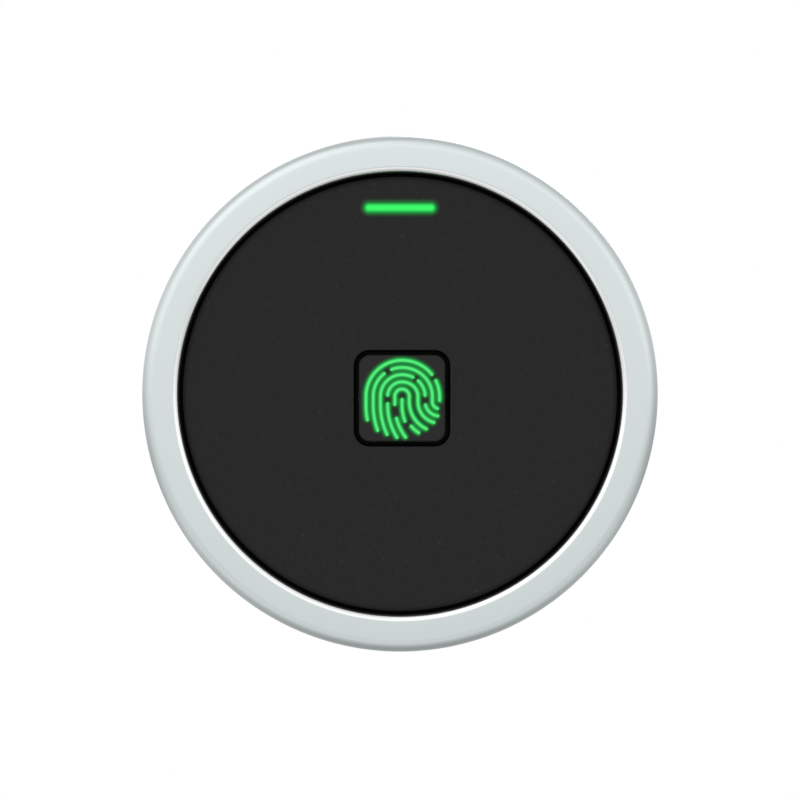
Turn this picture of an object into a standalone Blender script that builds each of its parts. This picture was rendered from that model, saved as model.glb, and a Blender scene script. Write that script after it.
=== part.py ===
"""Fingerprint scanner terminal: a round wall reader that sits on its own wall plate.

Every piece is drawn in a bench frame: X to the right, Y up the wall, Z out of the wall, with the
wall at Z = 0. The empty "terminal" then stands the bench on a vertical wall, so the face looks
along world -Y and +Z is up. Lengths are metres.
"""

import math

import bmesh
import bpy

# Driving sizes
RADIUS = 0.0380  # outside of the housing
DEPTH = 0.0220  # wall to the front of the housing's ring
GAP = 0.0003  # clearance between two pieces that touch
ROUND = 64  # sides of a large turned piece
SMALL_ROUND = 16  # sides of a screw or a pin
WELD = 1e-6

# Housing
EDGE_ROUNDING = 0.0018
RING_INNER_RADIUS = 0.0335
RING_CHAMFER = 0.0010
WELL_RADIUS = RING_INNER_RADIUS - RING_CHAMFER
LEDGE_RADIUS = 0.0300
CAVITY_RADIUS = 0.0340
SKIRT_RADIUS = 0.0357
SKIRT_BACK = 0.0015

# Heights above the wall, from the face backwards
PANEL_FRONT = DEPTH - 0.0012
PANEL_BACK = PANEL_FRONT - 0.0020
LEDGE_FRONT = PANEL_BACK - 0.0009
LEDGE_BACK = LEDGE_FRONT - 0.0013
BOARD_FRONT = LEDGE_BACK - 0.0019
BOARD_BACK = BOARD_FRONT - 0.0016
SHOULDER = 0.0080
COVER_FRONT = 0.0071
COVER_BACK = 0.0055
PLATE_RIM_FRONT = COVER_BACK - GAP
PLATE_FRONT = 0.0016
PART_FRONT = BOARD_BACK - GAP  # where the parts on the back of the main board start
PART_BACK = BOARD_FRONT + GAP  # where the parts on its front start

# Panel, light bar and sensor window
PANEL_RADIUS = 0.0320
PANEL_EDGE = 0.0003
LIGHT_Y = 0.0274
LIGHT_LENGTH = 0.01075
LIGHT_WIDTH = 0.00160
LIGHT_CLEARANCE = 0.0002
SENSOR_X = 0.0003
SENSOR_Y = -0.00065
WINDOW_SIZE = 0.0142
WINDOW_CORNER = 0.0023
SEAL_SIZE = 0.0138
SEAL_WALL = 0.0004
SENSOR_SIZE = 0.01265
SENSOR_CORNER = 0.0016
BRACKET_REACH = 0.0120  # from the sensor's centre to each bracket screw

# Screws: where each ring of three sits
BOARD_SCREW_RADIUS = 0.0313
BOARD_SCREW_ANGLES = (115, 235, 355)
COVER_SCREW_RADIUS = 0.0314
COVER_SCREW_ANGLES = (55, 175, 295)
BOARD_PILOT = 0.0013
COVER_PILOT = 0.00155

# Tamper contact and cable entry
TAMPER_X = -0.0180
TAMPER_Y = -0.0140
TAMPER_TRAVEL = 0.0015
PADDLE_BACK = COVER_FRONT + GAP + TAMPER_TRAVEL
PADDLE_FRONT = PADDLE_BACK + 0.0006
CABLE_BORE = 0.00325
PLATE_OPENING = 0.0120

# Grub screw, in the lower edge
GRUB_HEIGHT = 0.0035
GRUB_RADIUS = 0.00125
GRUB_TIP = 0.0347


# Tools


def clear_scene():
    """Empty the scene without closing the file that this script runs from."""
    for old in list(bpy.data.objects):
        bpy.data.objects.remove(old, do_unlink=True)


def finish(name, colour, roughness, metallic=0.0, glow=0.0):
    """A material with one colour. Glow is the strength of its own light."""
    made = bpy.data.materials.new(name)
    made.use_nodes = True
    shader = made.node_tree.nodes["Principled BSDF"]
    shader.inputs["Base Color"].default_value = (*colour, 1.0)
    shader.inputs["Roughness"].default_value = roughness
    shader.inputs["Metallic"].default_value = metallic
    shader.inputs["Emission Color"].default_value = (*colour, 1.0)
    shader.inputs["Emission Strength"].default_value = glow
    made.diffuse_color = (*colour, 1.0)
    return made


def empty(name, parent=None):
    """A frame that other pieces are parented to."""
    frame = bpy.data.objects.new(name, None)
    bpy.context.collection.objects.link(frame)
    frame.parent = parent
    return frame


def place(shape, name, look, parent, location=(0.0, 0.0, 0.0)):
    """Turn a bmesh into a named object, with its round faces smooth and its edges sharp."""
    bmesh.ops.remove_doubles(shape, verts=shape.verts, dist=WELD)
    bmesh.ops.recalc_face_normals(shape, faces=shape.faces)
    mesh = bpy.data.meshes.new(name)
    shape.to_mesh(mesh)
    shape.free()
    mesh.shade_smooth()
    mesh.set_sharp_from_angle(angle=math.radians(35))
    if look:
        mesh.materials.append(look)
    piece = bpy.data.objects.new(name, mesh)
    bpy.context.collection.objects.link(piece)
    piece.parent = parent
    piece.location = location
    return piece


def turned(name, profile, look, parent, location=(0.0, 0.0, 0.0), sides=ROUND):
    """A body turned about Z. The profile is a closed loop of (radius, height) points."""
    shape = bmesh.new()
    points = [shape.verts.new((radius, 0.0, height)) for radius, height in profile]
    edges = []
    for first, second in zip(points, points[1:] + points[:1]):
        if first.co.x > 0 or second.co.x > 0:
            edges.append(shape.edges.new((first, second)))
    bmesh.ops.spin(
        shape, geom=points + edges, cent=(0, 0, 0), axis=(0, 0, 1),
        angle=math.tau, steps=sides, use_merge=True,
    )
    bmesh.ops.remove_doubles(shape, verts=shape.verts, dist=WELD)
    hubs = [vertex for vertex in shape.verts if vertex.co.xy.length < WELD]
    bmesh.ops.dissolve_verts(shape, verts=hubs)  # each flat end becomes one face
    return place(shape, name, look, parent, location)


def rod(name, radius, bottom, top, look, parent, location=(0.0, 0.0, 0.0), sides=SMALL_ROUND):
    """A plain round bar along Z."""
    profile = [(0.0, bottom), (radius, bottom), (radius, top), (0.0, top)]
    return turned(name, profile, look, parent, location, sides)


def washer(name, inner, outer, bottom, top, look, parent, sides=48):
    """A flat ring along Z."""
    profile = [(inner, bottom), (outer, bottom), (outer, top), (inner, top)]
    return turned(name, profile, look, parent, sides=sides)


def rounded_outline(width, height, corner, steps=5):
    """Points of a rectangle with round corners, centred on the origin."""
    points = []
    for quarter, (side_x, side_y) in enumerate([(1, 1), (-1, 1), (-1, -1), (1, -1)]):
        for step in range(steps + 1):
            angle = math.pi / 2 * (quarter + step / steps)
            points.append((
                side_x * (width / 2 - corner) + corner * math.cos(angle),
                side_y * (height / 2 - corner) + corner * math.sin(angle),
            ))
    return points


def lofted(name, levels, look, parent, location=(0.0, 0.0, 0.0), ring=False):
    """A body through rounded rectangles, each (width, height, corner, level).

    A ring joins its last rectangle to its first, which leaves a hole through it. Any other body
    is capped at both ends.
    """
    shape = bmesh.new()
    loops = []
    for width, height, corner, level in levels:
        outline = rounded_outline(width, height, corner)
        loops.append([shape.verts.new((x, y, level)) for x, y in outline])
    pairs = list(zip(loops, loops[1:]))
    if ring:
        pairs.append((loops[-1], loops[0]))
    else:
        shape.faces.new(loops[0])
        shape.faces.new(loops[-1])
    for lower, upper in pairs:
        for i in range(len(lower)):
            shape.faces.new((lower[i - 1], lower[i], upper[i], upper[i - 1]))
    return place(shape, name, look, parent, location)


def block(name, size, bottom, top, look, parent, centre):
    """A chip or another square part: its width and height, with a small chamfer on its top edge."""
    width, height = size
    chamfer = min(0.0002, width / 4)
    levels = [
        (width, height, chamfer, bottom),
        (width, height, chamfer, top - chamfer),
        (width - chamfer, height - chamfer, chamfer, top),
    ]
    return lofted(name, levels, look, parent, (*centre, 0.0))


def combine(piece, tools, operation):
    """Join hidden bodies to a piece, or cut them out of it, in the order given."""
    for tool in tools:
        tool.hide_render = True
        tool.display_type = "WIRE"
        modifier = piece.modifiers.new(tool.name, "BOOLEAN")
        modifier.operation = operation
        modifier.object = tool


def join(piece, tools):
    combine(piece, tools, "UNION")


def cut(piece, tools):
    combine(piece, tools, "DIFFERENCE")


def on_circle(radius, angles):
    """Places on a circle about the origin, from angles in degrees."""
    turns = [math.radians(angle) for angle in angles]
    return [(radius * math.cos(turn), radius * math.sin(turn), 0.0) for turn in turns]


def pegs(name, places, radius, bottom, top, parent):
    """One plain round tool at each place, for holes and bosses."""
    return [
        rod(f"{name}_{number}", radius, bottom, top, None, parent, spot)
        for number, spot in enumerate(places, 1)
    ]


clear_scene()

# Finishes
SATIN_METAL = finish("satin_metal", (0.71, 0.73, 0.72), 0.32, 1.0)
BLACK_PANEL = finish("black_panel", (0.023, 0.023, 0.023), 0.6)
BLACK_SENSOR = finish("black_sensor", (0.024, 0.023, 0.023), 0.5)
BLACK_PLASTIC = finish("black_plastic", (0.030, 0.030, 0.032), 0.55)
GREY_PLASTIC = finish("grey_plastic", (0.16, 0.16, 0.17), 0.5)
WHITE_PLASTIC = finish("white_plastic", (0.72, 0.71, 0.66), 0.45)
RUBBER = finish("rubber", (0.018, 0.018, 0.018), 0.85)
TAPE = finish("tape", (0.10, 0.10, 0.10), 0.8)
GREEN_LIGHT = finish("green_light", (0.042, 0.98, 0.15), 0.4, glow=1.0)
CLEAR_LED = finish("clear_led", (0.85, 0.83, 0.62), 0.3)
LAMINATE = finish("laminate", (0.010, 0.075, 0.045), 0.45)
CHIP = finish("chip", (0.022, 0.022, 0.024), 0.5)
STEEL = finish("steel", (0.62, 0.62, 0.64), 0.3, 1.0)
BLACK_STEEL = finish("black_steel", (0.045, 0.045, 0.050), 0.4, 1.0)
POLYIMIDE = finish("polyimide", (0.42, 0.15, 0.03), 0.4)
LABEL = finish("label", (0.62, 0.63, 0.64), 0.5)

# Frames: the whole terminal on the wall, and the reader that comes off its wall plate
terminal = empty("terminal")
terminal.rotation_euler = (math.pi / 2, 0.0, 0.0)
reader = empty("reader", terminal)


# Wall plate


def wall_plate():
    """A shallow dish, with a rim that centres the reader and slots for the two wall screws."""
    rim_outer = SKIRT_RADIUS - GAP
    rim_inner = rim_outer - 0.0015
    slot_reach = 0.0300
    slot_width = 0.0038
    slot_length = 0.0080
    groove_depth = 0.0010
    groove_width = 0.0034
    overrun = 0.0010
    plate = turned(
        "wall_plate",
        [
            (PLATE_OPENING, 0.0), (rim_outer, 0.0), (rim_outer, PLATE_RIM_FRONT),
            (rim_inner, PLATE_RIM_FRONT), (rim_inner, PLATE_FRONT), (PLATE_OPENING, PLATE_FRONT),
        ],
        BLACK_PLASTIC, terminal,
    )
    slots = []
    for name, side in (("left_slot", -1), ("right_slot", 1)):
        levels = [
            (slot_width, slot_length, slot_width / 2, -overrun),
            (slot_width, slot_length, slot_width / 2, PLATE_FRONT + overrun),
        ]
        slots.append(lofted(name, levels, None, terminal, (side * slot_reach, 0.0, 0.0)))
    groove_back = GRUB_HEIGHT - GRUB_RADIUS - GAP
    groove = block(
        "grub_groove", (groove_width, 2 * groove_depth), groove_back, PLATE_RIM_FRONT + overrun,
        None, terminal, (0.0, -rim_outer),
    )
    cut(plate, slots + [groove])


def wall_gasket():
    """Foam ring that seals the reader's edge against the wall."""
    inner = SKIRT_RADIUS + 0.0002
    outer = RADIUS - GAP
    washer("wall_gasket", inner, outer, 0.0, SKIRT_BACK - GAP, RUBBER, terminal, ROUND)


# Housing


def housing():
    """Turned metal ring: rounded front edge, well for the panel, ledge, cavity and skirt."""
    edge_centre = (RADIUS - EDGE_ROUNDING, DEPTH - EDGE_ROUNDING)
    steps = 6
    rounding = []
    for step in range(steps + 1):
        angle = math.pi / 2 * step / steps
        rounding.append((
            edge_centre[0] + EDGE_ROUNDING * math.cos(angle),
            edge_centre[1] + EDGE_ROUNDING * math.sin(angle),
        ))
    profile = [
        (SKIRT_RADIUS, SKIRT_BACK), (RADIUS, SKIRT_BACK), *rounding,
        (RING_INNER_RADIUS, DEPTH), (WELL_RADIUS, DEPTH - RING_CHAMFER),
        (WELL_RADIUS, LEDGE_FRONT), (LEDGE_RADIUS, LEDGE_FRONT), (LEDGE_RADIUS, LEDGE_BACK),
        (CAVITY_RADIUS, LEDGE_BACK), (CAVITY_RADIUS, SHOULDER), (SKIRT_RADIUS, SHOULDER),
    ]
    ring = turned("housing", profile, SATIN_METAL, reader)
    rooted = 0.0005  # how far a boss reaches into the ledge
    board_places = on_circle(BOARD_SCREW_RADIUS, BOARD_SCREW_ANGLES)
    cover_places = on_circle(COVER_SCREW_RADIUS, COVER_SCREW_ANGLES)
    join(ring, pegs("board_boss", board_places, 0.00225, PART_BACK, LEDGE_BACK + rooted, reader))
    join(ring, pegs("cover_boss", cover_places, 0.00275, COVER_FRONT + GAP, LEDGE_BACK + rooted, reader))
    cut(ring, pegs("board_pilot", board_places, BOARD_PILOT, BOARD_FRONT, BOARD_FRONT + 0.0025, reader))
    cut(ring, pegs("cover_pilot", cover_places, COVER_PILOT, COVER_FRONT, COVER_FRONT + 0.0055, reader))
    grub_hole = rod("grub_hole", GRUB_RADIUS + GAP, 0.0, 0.0040, None, reader)
    grub_hole.rotation_euler = (math.pi / 2, 0.0, 0.0)
    grub_hole.location = (0.0, -SKIRT_RADIUS + 0.0005, GRUB_HEIGHT)
    cut(ring, [grub_hole])


def grub_screw():
    """Set screw with a cone point, on its own axis, which runs down out of the housing."""
    length = RADIUS - GRUB_TIP - 0.0001
    cone = 0.0006
    screw = turned(
        "grub_screw",
        [(0.0, 0.0), (GRUB_RADIUS - cone, 0.0), (GRUB_RADIUS, cone), (GRUB_RADIUS, length), (0.0, length)],
        BLACK_STEEL, reader, sides=SMALL_ROUND,
    )
    screw.rotation_euler = (math.pi / 2, 0.0, 0.0)
    screw.location = (0.0, -GRUB_TIP, GRUB_HEIGHT)
    key_hole = rod("grub_key_hole", 0.00072, length - 0.0012, length + 0.001, None, reader, sides=6)
    key_hole.rotation_euler = screw.rotation_euler
    key_hole.location = screw.location
    cut(screw, [key_hole])


# Front


def face_panel():
    """Black disc in the ring's well, with the sensor window, the light slot and two rear bosses."""
    panel = turned(
        "face_panel",
        [
            (0.0, PANEL_BACK), (PANEL_RADIUS, PANEL_BACK), (PANEL_RADIUS, PANEL_FRONT - PANEL_EDGE),
            (PANEL_RADIUS - PANEL_EDGE, PANEL_FRONT), (0.0, PANEL_FRONT),
        ],
        BLACK_PANEL, reader,
    )
    overrun = 0.0010
    boss_places = [(SENSOR_X + side * BRACKET_REACH, SENSOR_Y, 0.0) for side in (-1, 1)]
    boss_back = PANEL_BACK - 0.0020
    join(panel, pegs("bracket_boss", boss_places, 0.0021, boss_back, PANEL_BACK + 0.0005, reader))
    cut(panel, pegs("bracket_pilot", boss_places, 0.00105, boss_back - overrun, PANEL_BACK - 0.0002, reader))
    window = lofted(
        "window_cut",
        [
            (WINDOW_SIZE, WINDOW_SIZE, WINDOW_CORNER, PANEL_BACK - overrun),
            (WINDOW_SIZE, WINDOW_SIZE, WINDOW_CORNER, PANEL_FRONT + overrun),
        ],
        None, reader, (SENSOR_X, SENSOR_Y, 0.0),
    )
    slot_length = LIGHT_LENGTH + 2 * LIGHT_CLEARANCE
    slot_width = LIGHT_WIDTH + 2 * LIGHT_CLEARANCE
    slot = lofted(
        "light_slot",
        [
            (slot_length, slot_width, slot_width / 2, PANEL_BACK - overrun),
            (slot_length, slot_width, slot_width / 2, PANEL_FRONT + overrun),
        ],
        None, reader, (0.0, LIGHT_Y, 0.0),
    )
    cut(panel, [window, slot])


def panel_adhesive():
    """Ring of tape that holds the panel to the ledge."""
    inner = LEDGE_RADIUS + 0.0004
    outer = PANEL_RADIUS - 0.0002
    washer("panel_adhesive", inner, outer, LEDGE_FRONT + GAP, PANEL_BACK - GAP, TAPE, reader)


def light_bar():
    """Diffuser: a lens flush with the panel, a flange behind it and a stem towards the lamps."""
    flange_back = PANEL_BACK - 0.0009
    flange_front = PANEL_BACK - GAP
    stem_back = flange_back - 0.0019
    lens = (LIGHT_LENGTH, LIGHT_WIDTH, LIGHT_WIDTH / 2)
    flange = (0.0128, 0.0036, 0.0018)
    stem = (0.0110, 0.0020, 0.0010)
    levels = [
        (*stem, stem_back), (*stem, flange_back), (*flange, flange_back),
        (*flange, flange_front), (*lens, flange_front), (*lens, PANEL_FRONT),
    ]
    lofted("light_bar", levels, GREEN_LIGHT, reader, (0.0, LIGHT_Y, 0.0))


def light_shroud():
    """Frame that keeps the lamps' light in the stem."""
    outer = (0.0128, 0.0038, 0.0019)
    inner = (0.0116, 0.0026, 0.0013)
    front = PANEL_BACK - 0.0012
    levels = [(*outer, PART_BACK), (*outer, front), (*inner, front), (*inner, PART_BACK)]
    lofted("light_shroud", levels, BLACK_PLASTIC, reader, (0.0, LIGHT_Y, 0.0), ring=True)


def status_leds():
    """Three lamps on the main board, behind the light bar."""
    pitch = 0.0035
    for number in (1, 2, 3):
        block(
            f"status_led_{number}", (0.0020, 0.0014), PART_BACK, PART_BACK + 0.0007,
            CLEAR_LED, reader, ((number - 2) * pitch, LIGHT_Y),
        )


# Sensor


def sensor_stack():
    """Everything between the sensor window and the bracket, from the front backwards."""
    centre = (SENSOR_X, SENSOR_Y, 0.0)
    lip = SEAL_SIZE
    bore = SEAL_SIZE - 2 * SEAL_WALL
    flange = 0.0166
    seal_front = PANEL_FRONT - 0.0004
    flange_front = PANEL_BACK - GAP
    flange_back = flange_front - 0.0006
    lip_corner = WINDOW_CORNER - 0.0002
    bore_corner = lip_corner - SEAL_WALL
    seal = [
        (flange, flange, WINDOW_CORNER, flange_back), (flange, flange, WINDOW_CORNER, flange_front),
        (lip, lip, lip_corner, flange_front), (lip, lip, lip_corner, seal_front),
        (bore, bore, bore_corner, seal_front), (bore, bore, bore_corner, flange_back),
    ]
    lofted("sensor_seal", seal, RUBBER, reader, centre, ring=True)

    cover_back = PANEL_FRONT - 0.0009
    edge = 0.0002
    cover = [
        (SENSOR_SIZE, SENSOR_SIZE, SENSOR_CORNER, cover_back),
        (SENSOR_SIZE, SENSOR_SIZE, SENSOR_CORNER, PANEL_FRONT - edge),
        (SENSOR_SIZE - edge, SENSOR_SIZE - edge, SENSOR_CORNER, PANEL_FRONT),
    ]
    lofted("sensor_cover", cover, BLACK_SENSOR, reader, centre)

    film_size = 0.0120
    film_front = cover_back - GAP
    film_back = film_front - 0.0003
    film = [(film_size, film_size, 0.0014, film_back), (film_size, film_size, 0.0014, film_front)]
    lofted("icon_film", film, GREEN_LIGHT, reader, centre)

    chip_front = film_back - GAP
    chip_back = chip_front - 0.0010
    block("sensor_chip", (0.0114, 0.0114), chip_back, chip_front, CHIP, reader, centre[:2])

    board_front = flange_back - GAP
    board_back = board_front - 0.0008
    block("sensor_board", (0.0172, 0.0172), board_back, board_front, LAMINATE, reader, centre[:2])

    lamp_reach = 0.00615
    lamp_back = board_front + GAP
    for number, side in ((1, -1), (2, 1)):
        block(
            f"icon_led_{number}", (0.0005, 0.0016), lamp_back, lamp_back + 0.0007,
            CLEAR_LED, reader, (SENSOR_X + side * lamp_reach, SENSOR_Y),
        )
    return board_back


def sensor_bracket(board_back):
    """Steel strip across the back of the sensor board, and its two screws into the panel."""
    centre = (SENSOR_X, SENSOR_Y, 0.0)
    front = board_back - GAP
    back = front - 0.0005
    width = 0.0090
    length = 2 * BRACKET_REACH + 0.0044
    strip = [(length, width, 0.0022, back), (length, width, 0.0022, front)]
    bracket = lofted("sensor_bracket", strip, STEEL, reader, centre)
    overrun = 0.0005
    window = [
        (0.0090, 0.0040, 0.0010, back - overrun),
        (0.0090, 0.0040, 0.0010, front + overrun),
    ]
    places = [(SENSOR_X + side * BRACKET_REACH, SENSOR_Y, 0.0) for side in (-1, 1)]
    cut(bracket, [lofted("bracket_window", window, None, reader, centre)])
    cut(bracket, pegs("bracket_hole", places, 0.00105, back - overrun, front + overrun, reader))
    head_front = back - GAP
    head_back = head_front - 0.0007
    shank = 0.00075
    profile = [
        (0.0, head_back), (0.0015, head_back), (0.0015, head_front),
        (shank, head_front), (shank, PANEL_BACK - 0.0005), (0.0, PANEL_BACK - 0.0005),
    ]
    for number, spot in enumerate(places, 1):
        turned(f"bracket_screw_{number}", profile, STEEL, reader, spot, SMALL_ROUND)


def sensor_ribbon(board_back):
    """Flat cable from the sensor board to its socket on the main board."""
    width = 0.0060
    thickness = 0.0002
    start = board_back - GAP - thickness / 2
    end = PART_BACK + 0.0006
    socket_edge = SENSOR_Y - 0.0134
    bend_start = SENSOR_Y - 0.0090
    bend_end = SENSOR_Y - 0.0120
    path = [(SENSOR_Y - 0.0055, start)]
    steps = 8
    for step in range(steps + 1):
        share = step / steps
        eased = (1 - math.cos(math.pi * share)) / 2
        path.append((bend_start + (bend_end - bend_start) * share, start + (end - start) * eased))
    path.append((socket_edge + GAP, end))
    shape = bmesh.new()
    rows = [
        [shape.verts.new((SENSOR_X + side * width / 2, y, level)) for side in (-1, 1)]
        for y, level in path
    ]
    for near, far in zip(rows, rows[1:]):
        shape.faces.new((near[0], near[1], far[1], far[0]))
    ribbon = place(shape, "sensor_ribbon", POLYIMIDE, reader)
    solid = ribbon.modifiers.new("thickness", "SOLIDIFY")
    solid.thickness = thickness
    solid.offset = 0.0
    depth = 0.0032
    block(
        "ribbon_socket", (width + 0.0030, depth), PART_BACK, PART_BACK + 0.0012,
        WHITE_PLASTIC, reader, (SENSOR_X, socket_edge - depth / 2),
    )


# Electronics


def main_board():
    """Round circuit board, notched round the cover bosses and held by three screws."""
    board_radius = CAVITY_RADIUS - 0.0006
    board = rod("main_board", board_radius, BOARD_BACK, BOARD_FRONT, LAMINATE, reader, sides=ROUND)
    board_places = on_circle(BOARD_SCREW_RADIUS, BOARD_SCREW_ANGLES)
    cover_places = on_circle(COVER_SCREW_RADIUS, COVER_SCREW_ANGLES)
    overrun = 0.0010
    back, front = BOARD_BACK - overrun, BOARD_FRONT + overrun
    cut(board, pegs("board_hole", board_places, BOARD_PILOT, back, front, reader))
    cut(board, pegs("board_notch", cover_places, 0.00315, back, front, reader))
    shank = 0.0010
    head = 0.0019
    head_back = PART_FRONT - 0.0010
    tip = BOARD_FRONT + 0.0022
    profile = [
        (0.0, head_back), (head, head_back), (head, PART_FRONT),
        (shank, PART_FRONT), (shank, tip), (0.0, tip),
    ]
    for number, spot in enumerate(board_places, 1):
        turned(f"board_screw_{number}", profile, STEEL, reader, spot, SMALL_ROUND)


def board_parts():
    """Parts on the back of the main board: (name, width, height, depth, centre, finish)."""
    square_parts = [
        ("mcu", 0.0100, 0.0100, 0.0012, (0.0120, 0.0130), CHIP),
        ("flash_chip", 0.0050, 0.0040, 0.0010, (0.0010, 0.0155), CHIP),
        ("crystal", 0.0050, 0.0032, 0.0011, (0.0020, 0.0100), STEEL),
        ("bus_driver", 0.0050, 0.0040, 0.0015, (0.0030, -0.0200), CHIP),
        ("relay", 0.0100, 0.0065, 0.0050, (0.0195, -0.0050), WHITE_PLASTIC),
        ("inductor", 0.0060, 0.0060, 0.0030, (0.0130, -0.0205), GREY_PLASTIC),
        ("wire_socket", 0.0140, 0.0050, 0.0050, (0.0020, -0.0130), WHITE_PLASTIC),
    ]
    for name, width, height, depth, centre, look in square_parts:
        piece = block(name, (width, height), -PART_FRONT, depth - PART_FRONT, look, reader, centre)
        piece.rotation_euler = (math.pi, 0.0, 0.0)
    round_parts = [
        ("buzzer", 0.0048, 0.0044, (-0.0200, 0.0140), BLACK_PLASTIC),
        ("capacitor", 0.00315, 0.0052, (0.0225, -0.0140), STEEL),
    ]
    for name, radius, depth, centre, look in round_parts:
        rod(name, radius, PART_FRONT - depth, PART_FRONT, look, reader, (*centre, 0.0), 24)


# Back


def back_cover():
    """Plastic disc that closes the cavity, with holes for the cable, the plunger and its screws."""
    edge = 0.0003
    outer = SKIRT_RADIUS - GAP
    cover = turned(
        "back_cover",
        [
            (0.0, COVER_BACK), (outer - edge, COVER_BACK), (outer, COVER_BACK + edge),
            (outer, COVER_FRONT), (0.0, COVER_FRONT),
        ],
        BLACK_PLASTIC, reader,
    )
    overrun = 0.0010
    back, front = COVER_BACK - overrun, COVER_FRONT + overrun
    cable_hole = rod("cable_hole", 0.0046, back, front, None, reader, sides=32)
    tamper_hole = rod("tamper_hole", 0.0019, back, front, None, reader, (TAMPER_X, TAMPER_Y, 0.0))
    cut(cover, [cable_hole, tamper_hole])

    places = on_circle(COVER_SCREW_RADIUS, COVER_SCREW_ANGLES)
    head = 0.0024
    shank = 0.00125
    head_back = COVER_BACK + 0.0001
    neck = head_back + head - shank
    tip = COVER_FRONT + 0.0049
    screw = [(0.0, head_back), (head, head_back), (shank, neck), (shank, tip), (0.0, tip)]
    bore = [
        (0.0, back), (head + GAP + overrun, back), (shank + GAP, neck),
        (shank + GAP, front), (0.0, front),
    ]
    for number, spot in enumerate(places, 1):
        cut(cover, [turned(f"countersink_{number}", bore, None, reader, spot, SMALL_ROUND)])
        piece = turned(f"cover_screw_{number}", screw, BLACK_STEEL, reader, spot, SMALL_ROUND)
        socket = rod(f"screw_key_hole_{number}", 0.0009, back, head_back + 0.0009, None, reader, spot, 6)
        cut(piece, [socket])


def cover_gasket():
    """Flat seal between the cover and the housing's shoulder."""
    inner = CAVITY_RADIUS + 0.0002
    outer = SKIRT_RADIUS - GAP
    washer("cover_gasket", inner, outer, COVER_FRONT + GAP, SHOULDER - GAP, RUBBER, reader, ROUND)


def cable_grommet():
    """Rubber bush in the cover, which the wiring goes through."""
    flange = 0.0060
    waist = 0.0043
    back_flange = COVER_BACK - GAP
    front_flange = COVER_FRONT + GAP
    thickness = 0.0008
    profile = [
        (CABLE_BORE, back_flange - thickness), (flange, back_flange - thickness),
        (flange, back_flange), (waist, back_flange), (waist, front_flange),
        (flange, front_flange), (flange, front_flange + thickness),
        (CABLE_BORE, front_flange + thickness),
    ]
    turned("cable_grommet", profile, RUBBER, reader, sides=32)


def rating_label():
    """Blank foil label on the back of the cover."""
    front = COVER_BACK - GAP
    levels = [(0.0260, 0.0110, 0.0010, front - 0.0002), (0.0260, 0.0110, 0.0010, front)]
    lofted("rating_label", levels, LABEL, reader, (0.0, 0.0170, 0.0))


# Tamper contact


def tamper_contact():
    """Plunger that the wall plate holds in, its spring, and the switch that it works."""
    pin = 0.0015
    spigot = 0.0010
    spigot_front = PADDLE_FRONT + 0.0020
    tip = PLATE_FRONT + GAP
    rooted = 0.0002
    plunger = rod(
        "tamper_plunger", pin, tip, PADDLE_BACK + rooted, GREY_PLASTIC, reader, (TAMPER_X, TAMPER_Y, 0.0),
    )
    arm_length = 0.0110
    arm_width = 0.0050
    arm_centre = TAMPER_X + (arm_length - arm_width) / 2
    arm = [
        (arm_length, arm_width, 0.0024, PADDLE_BACK),
        (arm_length, arm_width, 0.0024, PADDLE_FRONT),
    ]
    join(plunger, [lofted("plunger_arm", arm, None, reader, (arm_centre, TAMPER_Y, 0.0))])
    spigot_tool = rod(
        "plunger_spigot", spigot, PADDLE_FRONT - rooted, spigot_front, None, reader,
        (TAMPER_X, TAMPER_Y, 0.0),
    )
    join(plunger, [spigot_tool])

    switch_x = TAMPER_X + 0.0065
    button_tip = PADDLE_FRONT + GAP
    body_back = button_tip + 0.0008
    switch = block(
        "tamper_switch", (0.0060, 0.0060), -PART_FRONT, -body_back, CHIP, reader, (switch_x, TAMPER_Y),
    )
    switch.rotation_euler = (math.pi, 0.0, 0.0)
    button = rod(
        "switch_button", 0.0008, button_tip, body_back + rooted, None, reader, (switch_x, TAMPER_Y, 0.0),
    )
    join(switch, [button])


def tamper_spring():
    """Compression spring between the plunger's arm and the main board."""
    wire = 0.00015
    coil = 0.00155
    turns = 3.5
    per_turn = 12
    bottom = PADDLE_FRONT + GAP + wire
    top = PART_FRONT - wire
    count = int(turns * per_turn) + 1
    curve = bpy.data.curves.new("tamper_spring", "CURVE")
    curve.dimensions = "3D"
    curve.bevel_depth = wire
    curve.bevel_resolution = 1
    curve.use_fill_caps = True
    spline = curve.splines.new("POLY")
    spline.points.add(count - 1)
    for number, point in enumerate(spline.points):
        angle = math.tau * number / per_turn
        level = bottom + (top - bottom) * number / (count - 1)
        point.co = (coil * math.cos(angle), coil * math.sin(angle), level, 1.0)
    spline.use_smooth = True
    curve.materials.append(STEEL)
    spring = bpy.data.objects.new("tamper_spring", curve)
    bpy.context.collection.objects.link(spring)
    spring.parent = reader
    spring.location = (TAMPER_X, TAMPER_Y, 0.0)


wall_plate()
wall_gasket()
housing()
grub_screw()
face_panel()
panel_adhesive()
light_bar()
light_shroud()
status_leds()
sensor_board_back = sensor_stack()
sensor_bracket(sensor_board_back)
sensor_ribbon(sensor_board_back)
main_board()
board_parts()
back_cover()
cover_gasket()
cable_grommet()
rating_label()
tamper_contact()
tamper_spring()
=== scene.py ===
"""Looks of the fingerprint scanner terminal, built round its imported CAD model.

The terminal hangs on a wall at Y = 0 and faces -Y, with +Z up. Most of its pieces are turned or
stacked along the wall's normal, so they are drawn lying on a bench, with Z out of the wall, and
then stood up. Lengths are metres.
"""

import math

import bmesh
import bpy
from mathutils import Matrix, Vector
from mathutils.kdtree import KDTree


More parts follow.
